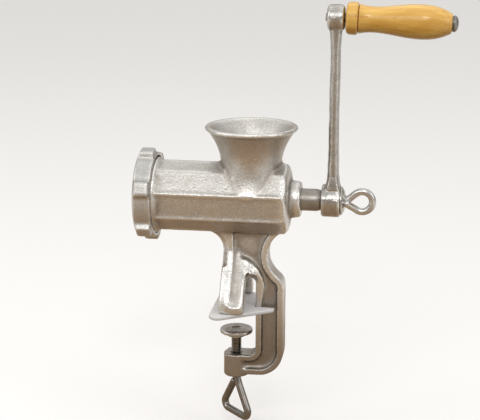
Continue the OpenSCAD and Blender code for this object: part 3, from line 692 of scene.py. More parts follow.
# Shapes


def finish_mesh(name: str, bm: BMesh, sharp: float = 40.0) -> Object:
    """Turns a bmesh into a smooth-shaded object at the origin.

    Args:
        name: The piece's name.
        bm: The shape, which is used up.
        sharp: Edges that turn by more than this, in degrees, stay sharp.

    Returns:
        The new object.
    """
    mesh = bpy.data.meshes.new(name)
    bm.to_mesh(mesh)
    bm.free()
    mesh.shade_smooth()
    mesh.set_sharp_from_angle(angle=math.radians(sharp))
    made = bpy.data.objects.new(name, mesh)
    bpy.context.scene.collection.objects.link(made)
    return made


def settle(piece: Object, body: Body, slot: Slot, finish: Finish, *stands_for: str) -> None:
    """Gives a piece its finish, its body and the nodes it stands for.

    Args:
        piece: The piece.
        body: The body it moves with.
        slot: The record's slot of its finish; not used here.
        finish: Its finish.
        stands_for: The nodes that it replaces.
    """
    piece.data.materials.append(finish.material())
    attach(piece, body.value)
    if stands_for:
        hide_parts(*stands_for)
    LOG.info("%s: %d faces, rides on %s", piece.name, len(piece.data.polygons), body.value)


def settle_crisp(name: str, node: str, edge: float, body: Body, slot: Slot, finish: Finish) -> None:
    """Builds a piece from a node with its edges broken, and settles it.

    Args:
        name: The piece's name.
        node: The node that it replaces.
        edge: Width of the broken edges, in millimetres.
        body: The body it moves with.
        slot: The record's slot of its finish.
        finish: Its finish.
    """
    settle(finish_mesh(name, crisp(node, edge * MM)), body, slot, finish, node)


def dress_node(node: str, finish: Finish) -> None:
    """Gives a node whose shape stays its finish.

    Args:
        node: The node's name.
        finish: The finish that all its faces take.
    """
    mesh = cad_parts[node].data
    if not mesh.materials:
        mesh.materials.append(None)
    for index in range(len(mesh.materials)):
        mesh.materials[index] = finish.material()
    LOG.info("%s: keeps its shape, finish %s", node, finish.name)


def merged(node: str) -> BMesh:
    """Copies a node's mesh with its loose triangles joined.

    Args:
        node: The node's name.

    Returns:
        The copy.
    """
    bm = bmesh.new()
    bm.from_mesh(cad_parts[node].data)
    bmesh.ops.remove_doubles(bm, verts=bm.verts, dist=WELD)
    return bm


def soft_skin(node: str, voxel: float, rounds: int) -> BMesh:
    """Takes a node's shape as an even skin with its edges and inner corners rounded, as a casting has them.

    Args:
        node: The node's name.
        voxel: Size of the skin's cells, in metres.
        rounds: Rounds of smoothing.

    Returns:
        The skin.
    """
    source = finish_mesh(node + "_source", merged(node))
    remesh = source.modifiers.new("even_skin", "REMESH")
    remesh.mode = "VOXEL"
    remesh.voxel_size = voxel
    shown = source.evaluated_get(bpy.context.evaluated_depsgraph_get())
    mesh = bpy.data.meshes.new_from_object(shown)
    bm = bmesh.new()
    bm.from_mesh(mesh)
    for used in (source.data, mesh):
        bpy.data.meshes.remove(used)
    smooth(bm, rounds)
    return bm


def smooth(bm: BMesh, rounds: int, verts: Optional[list[BMVert]] = None) -> None:
    """Smooths a shape.

    Args:
        bm: The shape.
        rounds: Rounds of smoothing, each half way to the neighbours' middle.
        verts: The places that are smoothed, or all of them.
    """
    chosen = list(bm.verts) if verts is None else verts
    every_way = {"use_axis_x": True, "use_axis_y": True, "use_axis_z": True}
    for _ in range(rounds):
        bmesh.ops.smooth_vert(bm, verts=chosen, factor=0.5, **every_way)


def fillet(bm: BMesh, rounds: int, least: float, rings: int = 3) -> None:
    """Smooths inner corners only, as a casting fills them.

    Args:
        bm: The skin.
        rounds: Rounds of smoothing.
        least: How far inside its neighbours' middle a place lies in an inner corner, in metres.
        rings: Rings of neighbours that are smoothed too.
    """
    bm.normal_update()
    inner: set[BMVert] = set()
    for vert in bm.verts:
        around = [edge.other_vert(vert).co for edge in vert.link_edges]
        middle = sum(around, Vector()) / len(around)
        if (middle - vert.co).dot(vert.normal) > least:
            inner.add(vert)
    for _ in range(rings):
        inner |= {edge.other_vert(vert) for vert in inner for edge in vert.link_edges}
    smooth(bm, rounds, [vert for vert in bm.verts if vert in inner])


def note_relief(bm: BMesh, rounds: int, depth: float) -> None:
    """Notes how far each place of a skin stands proud of the shape around it, for its finish to read.

    Args:
        bm: The skin.
        rounds: Rounds of smoothing that give the shape around it.
        depth: Height that counts as 1, and depth that counts as -1, in metres.
    """
    calm = bm.copy()
    smooth(calm, rounds)
    bm.normal_update()
    layer = bm.verts.layers.float.new(RELIEF)
    for vert, even in zip(bm.verts, calm.verts):
        vert[layer] = max(-1.0, min(1.0, (vert.co - even.co).dot(vert.normal) / depth))
    calm.free()


def roughen(bm: BMesh, height: float, cell: float, octaves: int = 2, where: Optional[Share] = None) -> None:
    """Moves a skin in and out by a noise, as sand and dripped tin leave it.

    Args:
        bm: The skin.
        height: Largest move, in metres.
        cell: Size of the lumps, in metres.
        octaves: Finer lumps on the first.
        where: Share of the move at a place, or everywhere alike.
    """
    bm.normal_update()
    moves = []
    for vert in bm.verts:
        share = where(vert.co) if where else 1.0
        lump = noise.fractal(vert.co / cell, OCTAVE_FADE, OCTAVE_STEP, octaves) if share else 0.0
        moves.append((vert, vert.normal * (height * share * lump)))
    for vert, move in moves:
        vert.co += move


def keep_clear(
    bm: BMesh, centre: Vector, axis: Vector, span: Point, band: Point, least: float = 0.0, most: float = math.inf
) -> None:
    """Holds a skin's walls off a round bore or shaft. Lengths are in millimetres, apart from the centre's.

    Args:
        bm: The skin.
        centre: A place on the axis, in metres.
        axis: The axis.
        span: From and to along the axis, from the centre.
        band: Radii of the walls that are held.
        least: Least radius that they may have.
        most: Largest radius that they may have.
    """
    for vert in bm.verts:
        along = (vert.co - centre).dot(axis)
        if not span[0] * MM <= along <= span[1] * MM:
            continue
        foot = centre + axis * along
        out = vert.co - foot
        radius = out.length
        if band[0] * MM <= radius <= band[1] * MM:
            vert.co = foot + out * (min(max(radius, least * MM), most * MM) / radius)


def crisp(node: str, edge: float, segments: int = 2, angle: float = 35.0, flat: float = 0.5) -> BMesh:
    """Copies a node with its sharp edges broken.

    Args:
        node: The node's name.
        edge: Width of the broken edge, in metres.
        segments: Faces across it.
        angle: Edges that turn by more than this, in degrees, are broken.
        flat: Faces that turn by less than this, in degrees, are joined first.

    Returns:
        The shape.
    """
    bm = merged(node)
    bmesh.ops.dissolve_limit(
        bm, angle_limit=math.radians(flat), verts=bm.verts, edges=bm.edges, delimit={"NORMAL"}
    )
    limit = math.radians(angle)
    sharp = [e for e in bm.edges if len(e.link_faces) == 2 and e.calc_face_angle(0.0) > limit]
    bmesh.ops.bevel(
        bm, geom=sharp, offset=edge, offset_type="OFFSET", segments=segments, profile=0.5, affect="EDGES",
        clamp_overlap=True, material=-1,
    )
    return bm


def lathe(profile: Sequence[Point], place: Matrix, steps: int = 96, closed: bool = False) -> BMesh:
    """Turns a profile about Z and puts it in its place.

    Args:
        profile: Radius and height of each point, in millimetres.
        place: Where the turned shape goes.
        steps: Steps round.
        closed: Joins the last point to the first, for a shape with a bore.

    Returns:
        The shape.
    """
    bm = bmesh.new()
    verts = [bm.verts.new((r * MM, 0.0, z * MM)) for r, z in profile]
    pairs = list(pairwise(verts)) + ([(verts[-1], verts[0])] if closed else [])
    edges = [bm.edges.new(pair) for pair in pairs]
    bmesh.ops.spin(
        bm, geom=verts + edges, cent=(0, 0, 0), axis=Z_AXIS, angle=math.tau, steps=steps, use_merge=True
    )
    bmesh.ops.remove_doubles(bm, verts=bm.verts, dist=WELD)
    bmesh.ops.recalc_face_normals(bm, faces=bm.faces)
    bmesh.ops.transform(bm, matrix=place, verts=bm.verts)
    return bm


def helix_thread(
    radius: float, depth: float, pitch: float, length: float, place: Matrix, steps: int = 40
) -> BMesh:
    """Winds a thread's ridge about Z, from 0 up.

    Args:
        radius: Crest radius, in millimetres.
        depth: Depth of the thread.
        pitch: Rise in a turn.
        length: Length that is threaded.
        place: Where the thread goes.
        steps: Steps in a turn.

    Returns:
        The ridge, with its root just inside the core.
    """
    bm = bmesh.new()
    root = radius - depth - THREAD_SINK
    section = zip((root, radius, radius, root), THREAD_RISE)
    face = bm.faces.new([bm.verts.new((r * MM, 0.0, pitch * rise * MM)) for r, rise in section])
    turns = max(length / pitch - 1.0, 1.0)
    count = round(turns * steps)
    geom = [face, *face.edges, *face.verts]
    rise = (0, 0, pitch * turns * MM / count)
    bmesh.ops.spin(
        bm, geom=geom, cent=(0, 0, 0), axis=Z_AXIS, dvec=rise, angle=math.tau * turns, steps=count
    )
    bmesh.ops.recalc_face_normals(bm, faces=bm.faces)
    bmesh.ops.transform(bm, matrix=place, verts=bm.verts)
    return bm


def tube(path: Sequence[Vector], radius: float, sides: int = 28) -> BMesh:
    """Draws a round wire along a path, with its far end rounded over.

    Args:
        path: Places along the middle of the wire, in metres.
        radius: Radius of the wire, in metres.
        sides: Sides round it.

    Returns:
        The wire.
    """
    last = len(path) - 1
    ways = [(path[min(i + 1, last)] - path[max(i - 1, 0)]).normalized() for i in range(len(path))]
    bm = bmesh.new()
    stand = Matrix.Translation(path[0]) @ ways[0].to_track_quat("Z", "Y").to_matrix().to_4x4()
    ring = bmesh.ops.create_circle(bm, cap_ends=True, segments=sides, radius=radius, matrix=stand)["verts"]
    edges: list[BMEdge] = list({edge for vert in ring for edge in vert.link_edges})
    for (here, way), (there, onward) in pairwise(zip(path, ways)):
        ring, edges = grow(bm, edges)
        bmesh.ops.rotate(bm, verts=ring, cent=here, matrix=way.rotation_difference(onward).to_matrix())
        bmesh.ops.translate(bm, verts=ring, vec=there - here)
    for step in range(1, DOME_STEPS):
        low, high = (math.pi / 2 * k / DOME_STEPS for k in (step - 1, step))
        ring, edges = grow(bm, edges)
        share = math.cos(high) / math.cos(low)
        centre = path[-1] + ways[-1] * (radius * math.sin(low))
        for vert in ring:
            vert.co = centre + (vert.co - centre) * share
        rise = radius * (math.sin(high) - math.sin(low))
        bmesh.ops.translate(bm, verts=ring, vec=ways[-1] * rise)
    bmesh.ops.holes_fill(bm, edges=edges, sides=0)
    bmesh.ops.recalc_face_normals(bm, faces=bm.faces)
    return bm


def grow(bm: BMesh, edges: Sequence[BMEdge]) -> tuple[list[BMVert], list[BMEdge]]:
    """Extrudes a ring of edges.

    Args:
        bm: The shape.
        edges: The ring.

    Returns:
        The new ring's vertices and edges.
    """
    geom = bmesh.ops.extrude_edge_only(bm, edges=list(edges))["geom"]
    verts = [item for item in geom if isinstance(item, BMVert)]
    inside = set(verts)
    return verts, [item for item in geom if isinstance(item, BMEdge) and set(item.verts) <= inside]


def join(*shapes: BMesh) -> BMesh:
    """Puts several shapes into the first one's bmesh.

    Args:
        shapes: The shapes; all but the first are used up.

    Returns:
        The first shape, with the others in it.
    """
    first = shapes[0]
    for other in shapes[1:]:
        mesh = bpy.data.meshes.new("part")
        other.to_mesh(mesh)
        other.free()
        first.from_mesh(mesh)
        bpy.data.meshes.remove(mesh)
    return first


def arc(centre: Point, radius: float, start: float, end: float, steps: int) -> list[Point]:
    """Gives points on an arc.

    Args:
        centre: Its middle.
        radius: Its radius.
        start: First angle, in degrees.
        end: Last angle, in degrees.
        steps: Steps between them.

    Returns:
        The points, both ends included.
    """
    turns = [math.radians(start + (end - start) * k / steps) for k in range(steps + 1)]
    return [(centre[0] + radius * math.cos(t), centre[1] + radius * math.sin(t)) for t in turns]


def along_x(x: float) -> Matrix:
    """Gives the place of a shape turned about the barrel's axis, from its own Z.

    Args:
        x: Where its zero goes along the axis, in millimetres.

    Returns:
        The placing matrix.
    """
    return Matrix.Translation((x * MM, 0.0, AXIS_H * MM)) @ Matrix.Rotation(math.pi / 2, 4, "Y")


@dataclass
class FingerLoop:
    """A finger loop bent from a screw's own wire, in its own plane: out along X, wide along Z, in millimetres."""

    length: float
    width: float
    wire: float
    bend: float
    back: float
    side_step: float
    bend_steps: int = 24
    back_steps: int = 4
    shortest: float = 0.6
    same: float = 0.01

    def path(self) -> list[Vector]:
        """Gives the middle of the wire from the screw round and back.

        Returns:
            Places along it, in millimetres.
        """
        cx = self.length - self.wire / 2 - self.bend
        cz = self.width / 2 - self.wire / 2 - self.bend
        lean = math.degrees(math.atan2(cz, cx) + math.asin(self.bend / math.hypot(cx, cz)))
        out = arc((cx, cz), self.bend, 90 + lean, 0, self.bend_steps)
        home = arc((cx, -cz), self.bend, 0, -90 - lean, self.bend_steps)
        flat = [(-self.wire, 0.0), (0.0, 0.0), *out, *(home if cz > self.same else home[1:])]
        points = [Vector((x, 0.0, z)) for x, z in flat]
        last = points[-1]
        for step in range(1, self.back_steps + 1):
            share = step / self.back_steps
            stay = 1.0 - self.back * share
            points.append(Vector((last.x * stay, -self.side_step * share, last.z * stay)))
        return points

    def build(self, place: Matrix) -> BMesh:
        """Bends the wire, with its corners cut, and puts it in its place.

        Args:
            place: Where the loop's own frame goes.

        Returns:
            The loop.
        """
        points = self.path()
        fine = [points[0]]
        for a, b in pairwise(points):
            fine += [a.lerp(b, 0.25), a.lerp(b, 0.75)] if (b - a).length > self.shortest else [b]
        fine.append(points[-1])
        return tube([place @ (p * MM) for p in fine], self.wire / 2 * MM)


# Sub-assemblies. Sizes are in millimetres, or in metres where they are given with MM.


@dataclass
class Casting:
    """The one-piece casting: barrel, hopper, boss, column, legs, spine and jaw, with its thread and pin."""

    voxel: float = 0.985 * MM
    rounds: int = 3
    fill_rounds: int = 16
    fill_least: float = 0.07 * MM
    lump_height: float = 0.10 * MM
    lump_size: float = 8.0 * MM
    lump_octaves: int = 3
    relief_rounds: int = 105
    relief_depth: float = 1.1 * MM
    mouth_x: float = -72.4
    collar_x: float = -61.7
    machined_r: float = 24.0
    neck_band: Point = (28.4, 33.0)
    neck_r: float = 29.3
    thread_r: float = 30.5
    thread_pitch: float = 2.5
    thread_depth: float = 1.1
    thread_steps: int = 72
    thread_start: float = 0.4
    thread_short: float = 0.6
    boss: Point = (36.0, 52.0)
    boss_band: Point = (6.0, 9.6)
    journal_r: float = 8.95
    jaw: Point = (-59.0, -37.0)
    jaw_band: Point = (2.5, 4.8)
    jaw_bore_r: float = 4.2
    pin_edge: float = 0.2
    washer_edge: float = 0.25

    def skin(self) -> BMesh:
        """Makes the cast skin, with its bores held clear of what turns in them.

        Returns:
            The skin.
        """
        bm = soft_skin("body_casting", self.voxel, self.rounds)
        fillet(bm, self.fill_rounds, self.fill_least)

        def bare(place: Vector) -> float:
            """Keeps machined bores and the mouth smooth.

            Args:
                place: A place on the skin.

            Returns:
                Share of the roughness there.
            """
            out = math.hypot(place.y, place.z - ON_AXIS.z)
            machined = out < self.machined_r * MM or place.x < self.collar_x * MM
            return 0.0 if machined else 1.0

        roughen(bm, self.lump_height, self.lump_size, self.lump_octaves, bare)
        note_relief(bm, self.relief_rounds, self.relief_depth)
        keep_clear(bm, ON_AXIS, X_AXIS, (self.mouth_x - 1.0, self.collar_x), self.neck_band, most=self.neck_r)
        keep_clear(bm, ON_AXIS, X_AXIS, self.boss, self.boss_band, least=self.journal_r)
        keep_clear(bm, Vector(), Z_AXIS, self.jaw, self.jaw_band, least=self.jaw_bore_r)
        return bm

    def thread(self) -> BMesh:
        """Winds the mouth's thread.

        Returns:
            The thread's ridge.
        """
        length = self.collar_x - self.mouth_x - self.thread_short
        place = along_x(self.mouth_x + self.thread_start)
        return helix_thread(self.thread_r, self.thread_depth, self.thread_pitch, length, place, self.thread_steps)

    def build(self) -> None:
        """Builds and dresses the casting, its mouth thread, the key pin and the washer behind the feed screw."""
        skin = finish_mesh("casting_skin", self.skin(), sharp=60.0)
        settle(skin, Body.CASTING, Slot.TINNED, TINNED, "body_casting")
        settle(finish_mesh("mouth_thread", self.thread(), sharp=25.0), Body.CASTING, Slot.TINNED, CUT_STEEL)
        settle_crisp("key_pin", "locating_pin", self.pin_edge, Body.CASTING, Slot.STEEL, CUT_STEEL)
        settle_crisp("rear_washer", "thrust_washer", self.washer_edge, Body.CASTING, Slot.WASHER, FIBRE)


@dataclass
class TablePad:
    """The moulded plate under the two feet."""

    edge: float = 0.9 * MM
    edge_faces: int = 4

    def build(self) -> None:
        """Builds and dresses the pad."""
        pad = finish_mesh("foot_pad", crisp("table_pad", self.edge, self.edge_faces), sharp=50.0)
        settle(pad, Body.CASTING, Slot.PAD, MILKY_PAD, "table_pad")


@dataclass
class MouthRing:
    """The lobed ring nut and the plate that it holds."""

    voxel: float = 0.55 * MM
    rounds: int = 4
    lobe_rounds: int = 16
    lump_height: float = 0.08 * MM
    lump_size: float = 6.0 * MM
    lump_octaves: int = 3
    thread_x: Point = (-73.6, -60.0)
    bore_band: Point = (29.0, 32.0)
    bore_r: float = 30.6

    def build(self) -> None:
        """Builds and dresses the ring, and dresses the plate."""
        bm = soft_skin("ring_nut", self.voxel, self.rounds)

        def outside(place: Vector) -> float:
            """Keeps the threaded bore smooth."""
            return 1.0 if math.hypot(place.y, place.z - ON_AXIS.z) > self.bore_band[1] * MM else 0.0

        smooth(bm, self.lobe_rounds, [vert for vert in bm.verts if outside(vert.co)])
        roughen(bm, self.lump_height, self.lump_size, self.lump_octaves, outside)
        keep_clear(bm, ON_AXIS, X_AXIS, self.thread_x, self.bore_band, least=self.bore_r)
        settle(finish_mesh("lobed_ring", bm, sharp=60.0), Body.RING, Slot.BRIGHT, BRIGHT_RING, "ring_nut")
        dress_node("grinding_plate", CUT_STEEL)


@dataclass
class FeedDrive:
    """The feed screw with its journal, the stud and the knife."""

    voxel: float = 0.7 * MM
    rounds: int = 3
    journal: Point = (36.2, 63.4)
    journal_band: Point = (7.0, 9.4)
    journal_r: float = 8.6
    stud_edge: float = 0.25
    knife_edge: float = 0.2

    def build(self) -> None:
        """Builds and dresses the feed screw, its stud and the knife."""
        bm = soft_skin("auger", self.voxel, self.rounds)
        keep_clear(bm, ON_AXIS, X_AXIS, self.journal, self.journal_band, most=self.journal_r)
        screw = finish_mesh("feed_screw", bm, sharp=50.0)
        settle(screw, Body.DRIVE, Slot.BRIGHT, BRIGHT_SCREW, "auger")
        screw.data.materials.append(JOURNAL.material())
        for face in screw.data.polygons:
            if face.center.x > self.journal[0] * MM:
                face.material_index = 1
        settle_crisp("screw_stud", "auger_stud", self.stud_edge, Body.DRIVE, Slot.STEEL, CUT_STEEL)
        settle_crisp("cross_knife", "knife", self.knife_edge, Body.DRIVE, Slot.STEEL, CUT_STEEL)


@dataclass
class Crank:
    """The crank arm with its hub and eye, the domed washer and the thumbscrew."""

    voxel: float = 0.62 * MM
    rounds: int = 5
    drip_height: float = 0.2 * MM
    drip_size: float = 5.0 * MM
    drip_octaves: int = 3
    wave_height: float = 0.9 * MM
    wave_size: float = 24.0 * MM
    wave_octaves: int = 1
    calm_rounds: int = 3
    relief_rounds: int = 40
    relief_depth: float = 0.8 * MM
    shank: Point = (106.0, 216.0)
    shank_ease: float = 24.0
    washer_x: float = 81.0
    washer_d: float = 22.0
    washer_h: float = 3.4
    washer_rim: float = 1.0
    washer_flat: float = 1.6
    washer_edge: float = 0.4
    bore_edge: float = 0.3
    bore_clear: float = 0.1
    dome_steps: int = 10
    thumb_x: float = 84.4
    thumb_d: float = 7.0
    thumb_pitch: float = 1.25
    thumb_from: float = 66.4
    thread_depth: float = 0.5
    thread_short: float = 3.6
    shoulder: Point = (4.2, 3.8)
    tip: Point = (0.6, 0.8)
    collar: tuple[Point, ...] = ((0.0, 0.02), (1.0, 0.05), (1.2, 0.5), (0.5, 1.5), (-0.9, 2.4))
    loop_out: float = 0.8
    loop: FingerLoop = field(
        default_factory=lambda: FingerLoop(length=23.0, width=21.4, wire=5.6, bend=7.9, back=0.9, side_step=6.2)
    )

    def arm(self) -> None:
        """Builds and dresses the arm, rough with dripped tin and slightly wavy."""
        bm = soft_skin("crank_arm", self.voxel, self.rounds)

        def shank(place: Vector) -> float:
            """Keeps the hub and the eye true, and lets the waves in slowly between them."""
            inside = min(place.z / MM - self.shank[0], self.shank[1] - place.z / MM)
            return max(0.0, min(1.0, inside / self.shank_ease))

        roughen(bm, self.drip_height, self.drip_size, self.drip_octaves)
        roughen(bm, self.wave_height, self.wave_size, self.wave_octaves, shank)
        smooth(bm, self.calm_rounds)
        note_relief(bm, self.relief_rounds, self.relief_depth)
        settle(finish_mesh("arm_skin", bm, sharp=60.0), Body.DRIVE, Slot.TINNED, TINNED_ARM, "crank_arm")

    def washer(self) -> None:
        """Builds and dresses the domed washer."""
        bore = self.thumb_d / 2 + self.bore_clear
        edge = self.washer_d / 2
        top, rim, steps = self.washer_h, self.washer_rim, self.dome_steps
        inward = edge - bore - self.washer_flat
        dome = [
            (edge - inward * k / steps, rim + (top - rim) * math.sin(math.pi / 2 * k / steps))
            for k in range(steps + 1)
        ]
        profile = [(bore, 0.0), (edge - self.washer_edge, 0.0), (edge, self.washer_edge), *dome]
        profile += [(bore + self.bore_edge, top), (bore, top - self.bore_edge)]
        shape = lathe(profile, along_x(self.washer_x), closed=True)
        settle(finish_mesh("domed_washer", shape), Body.WASHER, Slot.POLISHED, POLISHED, "crank_washer")

    def thumbscrew(self) -> None:
        """Builds and dresses the thumbscrew: core, thread, collar and loop."""
        r = self.thumb_d / 2
        core_r = r - self.thread_depth
        reach = self.thumb_x - self.thumb_from
        profile = [(0.0, 0.0), (core_r - self.tip[0], 0.0), (core_r, self.tip[1])]
        profile += [(core_r, reach - self.shoulder[0]), (r, reach - self.shoulder[1])]
        profile += [(r + out, reach + up) for out, up in self.collar]
        profile.append((0.0, profile[-1][1]))
        place = along_x(self.thumb_from)
        core = lathe(profile, place, steps=48)
        thread = helix_thread(r, self.thread_depth, self.thumb_pitch, reach - self.thread_short, place)
        stand = Matrix.Translation(((self.thumb_x + self.loop_out) * MM, 0.0, AXIS_H * MM))
        shape = join(self.loop.build(stand), core, thread)
        settle(finish_mesh("thumb_screw", shape), Body.THUMBSCREW, Slot.POLISHED, POLISHED, "crank_thumbscrew")

    def build(self) -> None:
        """Builds the arm, the washer and the thumbscrew."""
        self.arm()
        self.washer()
        self.thumbscrew()


@dataclass
class Grip:
    """The turned grip on its pin."""

    foot: Triple = (74.8, 0.0, 229.4)
    droop: float = 2.0
    start: float = 7.45
    length: float = 77.7
    belly_r: float = 12.9
    belly_at: float = 0.7
    collar_r: float = 12.2
    collar_len: float = 9.0
    collar_round: float = 3.2
    groove_round: float = 2.0
    groove: tuple[Point, ...] = ((2.2, 0.05), (2.3, 0.3))
    groove_out: Point = (1.2, 0.6)
    neck_r: float = 9.65
    neck_len: float = 11.0
    end_r: float = 7.9
    end_power: float = 2.5
    end_edge: tuple[Point, ...] = ((0.2, 0.6), (0.6, 0.15), (1.2, 0.0))
    bore_r: float = 3.56
    bore_edge: float = 0.4
    neck_steps: int = 12
    belly_steps: int = 24
    head_z: float = 86.15
    head_r: float = 6.1
    head_h: float = 3.8
    head_rim: float = 0.8
    head_edge: float = 0.3
    head_step: int = 9
    pin_r: float = 3.5
    pin_from: float = -6.65
    pin_end: tuple[Point, ...] = ((0.9, 1.2), (0.1, 0.3), (0.0, 0.0))
    washer_edge: float = 0.15

    def place(self, z: float) -> Matrix:
        """Gives the place of a shape on the grip's axis.

        Args:
            z: Where its zero goes along the axis, in millimetres.

        Returns:
            The placing matrix.
        """
        stand = Matrix.Translation(Vector(self.foot) * MM)
        tilt = Matrix.Rotation(math.radians(90.0 + self.droop), 4, "Y")
        return stand @ tilt @ Matrix.Translation((0.0, 0.0, z * MM))

    def outline(self) -> list[Point]:
        """Gives half the grip's outline: collar, groove, neck, belly and rounded end.

        Returns:
            Radius and height of each point, in millimetres.
        """
        cr, nr, r, er, end = self.collar_r, self.neck_r, self.belly_r, self.end_r, self.length
        front, round_r, bore, edge = self.collar_round, self.groove_round, self.bore_r, self.bore_edge
        groove, neck, belly = self.collar_len, self.collar_len + self.neck_len, end * self.belly_at
        last = end - self.end_edge[-1][0]
        points = [(bore + edge, 0.0), *arc((cr - front, front), front, -90, 0, steps=10)]
        points += arc((cr - round_r, groove - round_r), round_r, 0, 70, steps=6)
        points += [(cr - inward, groove + up) for inward, up in self.groove]
        drop, lead = self.groove_out
        run = neck - groove - lead
        for k in range(self.neck_steps + 1):
            share = k / self.neck_steps
            points.append((nr + (cr - drop - nr) * (1 - share) ** 2, groove + lead + run * share))
        for k in range(1, self.belly_steps + 1):
            share = k / self.belly_steps
            swell = (1 - math.cos(math.pi * share)) / 2
            points.append((nr + (r - nr) * swell, neck + (belly - neck) * share))
        for k in range(1, self.belly_steps + 1):
            share = k / self.belly_steps
            points.append((r - (r - er) * share**self.end_power, belly + (last - belly) * share))
        points += [(er - inward, end - down) for inward, down in self.end_edge]
        return points + [(bore + edge, end), (bore, end - edge), (bore, edge)]

    def pin(self) -> list[Point]:
        """Gives half the pin's outline, from its riveted end to its domed head.

        Returns:
            Radius and height of each point, in millimetres.
        """
        low = self.pin_from - self.head_z
        points = [(0.0, low - self.pin_end[0][1])]
        points += [(self.pin_r - inward, low - down) for inward, down in self.pin_end]
        points += [(self.pin_r, 0.0), (self.head_r - self.head_edge, 0.0), (self.head_r, self.head_edge)]
        for degrees in range(0, 91, self.head_step):
            angle = math.radians(degrees)
            rise = (self.head_h - self.head_rim) * math.sin(angle)
            points.append((self.head_r * math.cos(angle), self.head_rim + rise))
        return points

    def build(self) -> None:
        """Builds and dresses the grip, its pin and the washer under the pin's head."""
        shape = lathe(self.outline(), self.place(self.start), steps=128, closed=True)
        settle(finish_mesh("turned_grip", shape, sharp=45.0), Body.GRIP, Slot.BEECH, BEECH, "wood_grip")
        pin = lathe(self.pin(), self.place(self.head_z), steps=64)
        settle(finish_mesh("riveted_pin", pin), Body.DRIVE, Slot.STEEL, PIN_STEEL, "grip_pin")
        settle_crisp("head_washer", "grip_washer", self.washer_edge, Body.DRIVE, Slot.STEEL, PIN_STEEL)


@dataclass
class Clamp:
    """The clamp screw with its finger loop, and the pressure plate on it."""

    loop_z: float = -60.1
    shoulder_z: float = -25.02
    shoulder_h: float = 0.02
    head_z: float = -19.5
    head_out: float = 1.3
    head_h: Point = (1.5, 0.1)
    foot: Point = (0.6, 0.3)
    screw_r: float = 4.0
    spigot_r: float = 3.0
    thread_depth: float = 0.55
    pitch: float = 1.25
    turn: float = -46.0
    plate_edge: float = 0.3
    loop: FingerLoop = field(
        default_factory=lambda: FingerLoop(length=34.0, width=37.0, wire=5.8, bend=5.0, back=0.78, side_step=0.0)
    )

    def build(self) -> None:
        """Builds and dresses the screw with its loop, and the plate."""
        core_r = self.screw_r - self.thread_depth
        reach = self.shoulder_z - self.loop_z
        tip = self.head_z - self.loop_z
        profile = [(0.0, -self.foot[0]), (core_r, -self.foot[1]), (core_r, reach)]
        profile += [(self.spigot_r, reach + self.shoulder_h), (self.spigot_r, tip - self.head_h[0])]
        profile += [(self.spigot_r + self.head_out, tip - self.head_h[1]), (0.0, tip)]
        place = Matrix.Translation((0.0, 0.0, self.loop_z * MM))
        core = lathe(profile, place, steps=48)
        thread = helix_thread(self.screw_r, self.thread_depth, self.pitch, reach, place)
        hang = Matrix(((0, 0, 1, 0), (0, 1, 0, 0), (-1, 0, 0, 0), (0, 0, 0, 1)))
        stand = place @ Matrix.Rotation(math.radians(self.turn), 4, "Z") @ hang
        shape = join(self.loop.build(stand), core, thread)
        screw = finish_mesh("clamp_loop_screw", shape)
        # The clamp screw takes the darker wire finish: painted shade.
        settle(screw, Body.CLAMP, Slot.POLISHED, SHADED_SCREW_WIRE, "clamp_screw")
        settle_crisp("pressing_plate", "pressure_plate", self.plate_edge, Body.FOOT, Slot.STEEL, TURNED_STEEL)


@dataclass(frozen=True)
class Lamp:
    """A soft box that faces the part. Lengths are in metres and the power in watts."""

    name: str
    place: Triple
    size: Point
    power: float
    colour: Colour = (1.0, 1.0, 1.0)
    aim: Triple = (0.01, 0.0, 0.08)

    def hang(self) -> None:
        """Hangs the lamp in the scene."""
        data = bpy.data.lights.new(self.name, "AREA")
        data.shape = "RECTANGLE"
        data.size, data.size_y = self.size
        data.energy = self.power
        data.color = self.colour
        lamp = bpy.data.objects.new(self.name, data)
        facing = (Vector(self.aim) - Vector(self.place)).to_track_quat("-Z", "Y")
        lamp.matrix_world = Matrix.Translation(self.place) @ facing.to_matrix().to_4x4()
        bpy.context.scene.collection.objects.link(lamp)


LAMPS = (
    Lamp("strip", place=(-0.3, -1.5, 1.1), size=(1.5, 0.6), power=5.0, colour=(1.0, 0.99, 0.97)),
    Lamp("key", place=(0.35, -1.3, 1.25), size=(0.3, 0.3), power=2.0),
    Lamp("top", place=(0.1, 0.1, 1.7), size=(1.8, 1.3), power=4.0),
    Lamp("left", place=(-1.5, -0.5, 0.8), size=(0.8, 1.2), power=4.0),
    Lamp("side", place=(1.5, -0.7, 0.7), size=(0.7, 1.1), power=3.0),
)


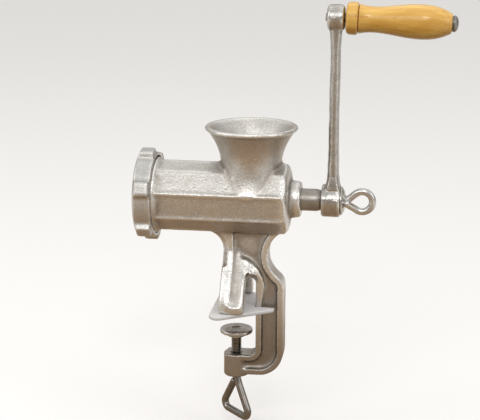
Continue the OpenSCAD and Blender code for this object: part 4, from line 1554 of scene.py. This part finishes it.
@dataclass
class Studio:
    """The pale floor, the soft light and the camera."""

    azimuth: float = 8.424
    elevation: float = 14.682
    roll: float = 0.126
    lens: float = 98.05
    sensor: float = 36.0
    clip: Point = (0.01, 200.0)
    stand: Triple = (0.147205, -0.976183, 0.337121)
    floor_side: float = 40.0
    floor_drop: float = 0.012
    floor_cells: int = 8
    backdrop: Colour = (0.94, 0.93, 0.92)
    horizon: Colour = (0.50, 0.45, 0.40)
    walls: Colour = (1.0, 1.0, 1.0)
    ceiling: Colour = (0.66, 0.64, 0.60)
    wall_span: Point = (0.06, 0.7)
    ceiling_span: Point = (0.72, 0.98)
    strength: float = 0.88
    exposure: float = -0.2

    def camera(self) -> None:
        """Stands the camera at the viewing angle."""
        a, e, r = (math.radians(v) for v in (self.azimuth, self.elevation, self.roll))
        back = Vector((math.sin(a) * math.cos(e), -math.cos(a) * math.cos(e), math.sin(e)))
        right = Vector((math.cos(a), math.sin(a), 0.0))
        up = back.cross(right)
        turned = right * math.cos(r) + up * math.sin(r)
        upright = up * math.cos(r) - right * math.sin(r)
        data = bpy.data.cameras.new("camera")
        data.lens = self.lens
        data.sensor_width = self.sensor
        data.sensor_fit = "HORIZONTAL"
        data.clip_start, data.clip_end = self.clip
        camera = bpy.data.objects.new("camera", data)
        columns = Matrix((turned, upright, back)).transposed().to_4x4()
        camera.matrix_world = Matrix.Translation(self.stand) @ columns
        bpy.context.scene.collection.objects.link(camera)
        bpy.context.scene.camera = camera

    def floor(self) -> None:
        """Lays the floor under the part, below the clamp screw's way down."""
        bm = bmesh.new()
        low = Matrix.Translation((0.0, 0.0, CAD_BOX[0].z - self.floor_drop))
        cells = self.floor_cells
        bmesh.ops.create_grid(bm, x_segments=cells, y_segments=cells, size=self.floor_side / 2, matrix=low)
        floor = finish_mesh("floor", bm)
        floor.data.materials.append(FLOOR.material())

    def world(self) -> None:
        """Lights the room softly, brightest half way up, with a pale backdrop above the floor."""
        world = bpy.data.worlds.new("soft_room")
        world.use_nodes = True
        bpy.context.scene.world = world
        graph = Graph(world.node_tree)
        height = graph.parts(graph.add("ShaderNodeTexCoord").outputs["Generated"])[2]
        shade = graph.mix(graph.span(height, *self.wall_span), self.horizon, self.walls)
        shade = graph.mix(graph.span(height, *self.ceiling_span), shade, self.ceiling)
        seen = graph.add("ShaderNodeLightPath").outputs["Is Camera Ray"]
        shade = graph.mix(seen, shade, self.backdrop)
        graph.fill(world.node_tree.nodes["Background"], {"Color": shade, "Strength": self.strength})

    def build(self) -> None:
        """Sets up floor, light and camera."""
        self.camera()
        self.floor()
        self.world()
        for lamp in LAMPS:
            lamp.hang()
        view = bpy.context.scene.view_settings
        view.view_transform = "Standard"
        view.look = "Medium High Contrast"
        view.exposure = self.exposure
        LOG.info("studio ready")


def main() -> None:
    """Builds the studio and every sub-assembly in order."""
    logging.basicConfig(level=logging.INFO, format="%(name)s %(message)s")
    Studio().build()
    for part in (Casting(), TablePad(), MouthRing(), FeedDrive(), Crank(), Grip(), Clamp()):
        part.build()


if __name__ == "__main__":
    main()
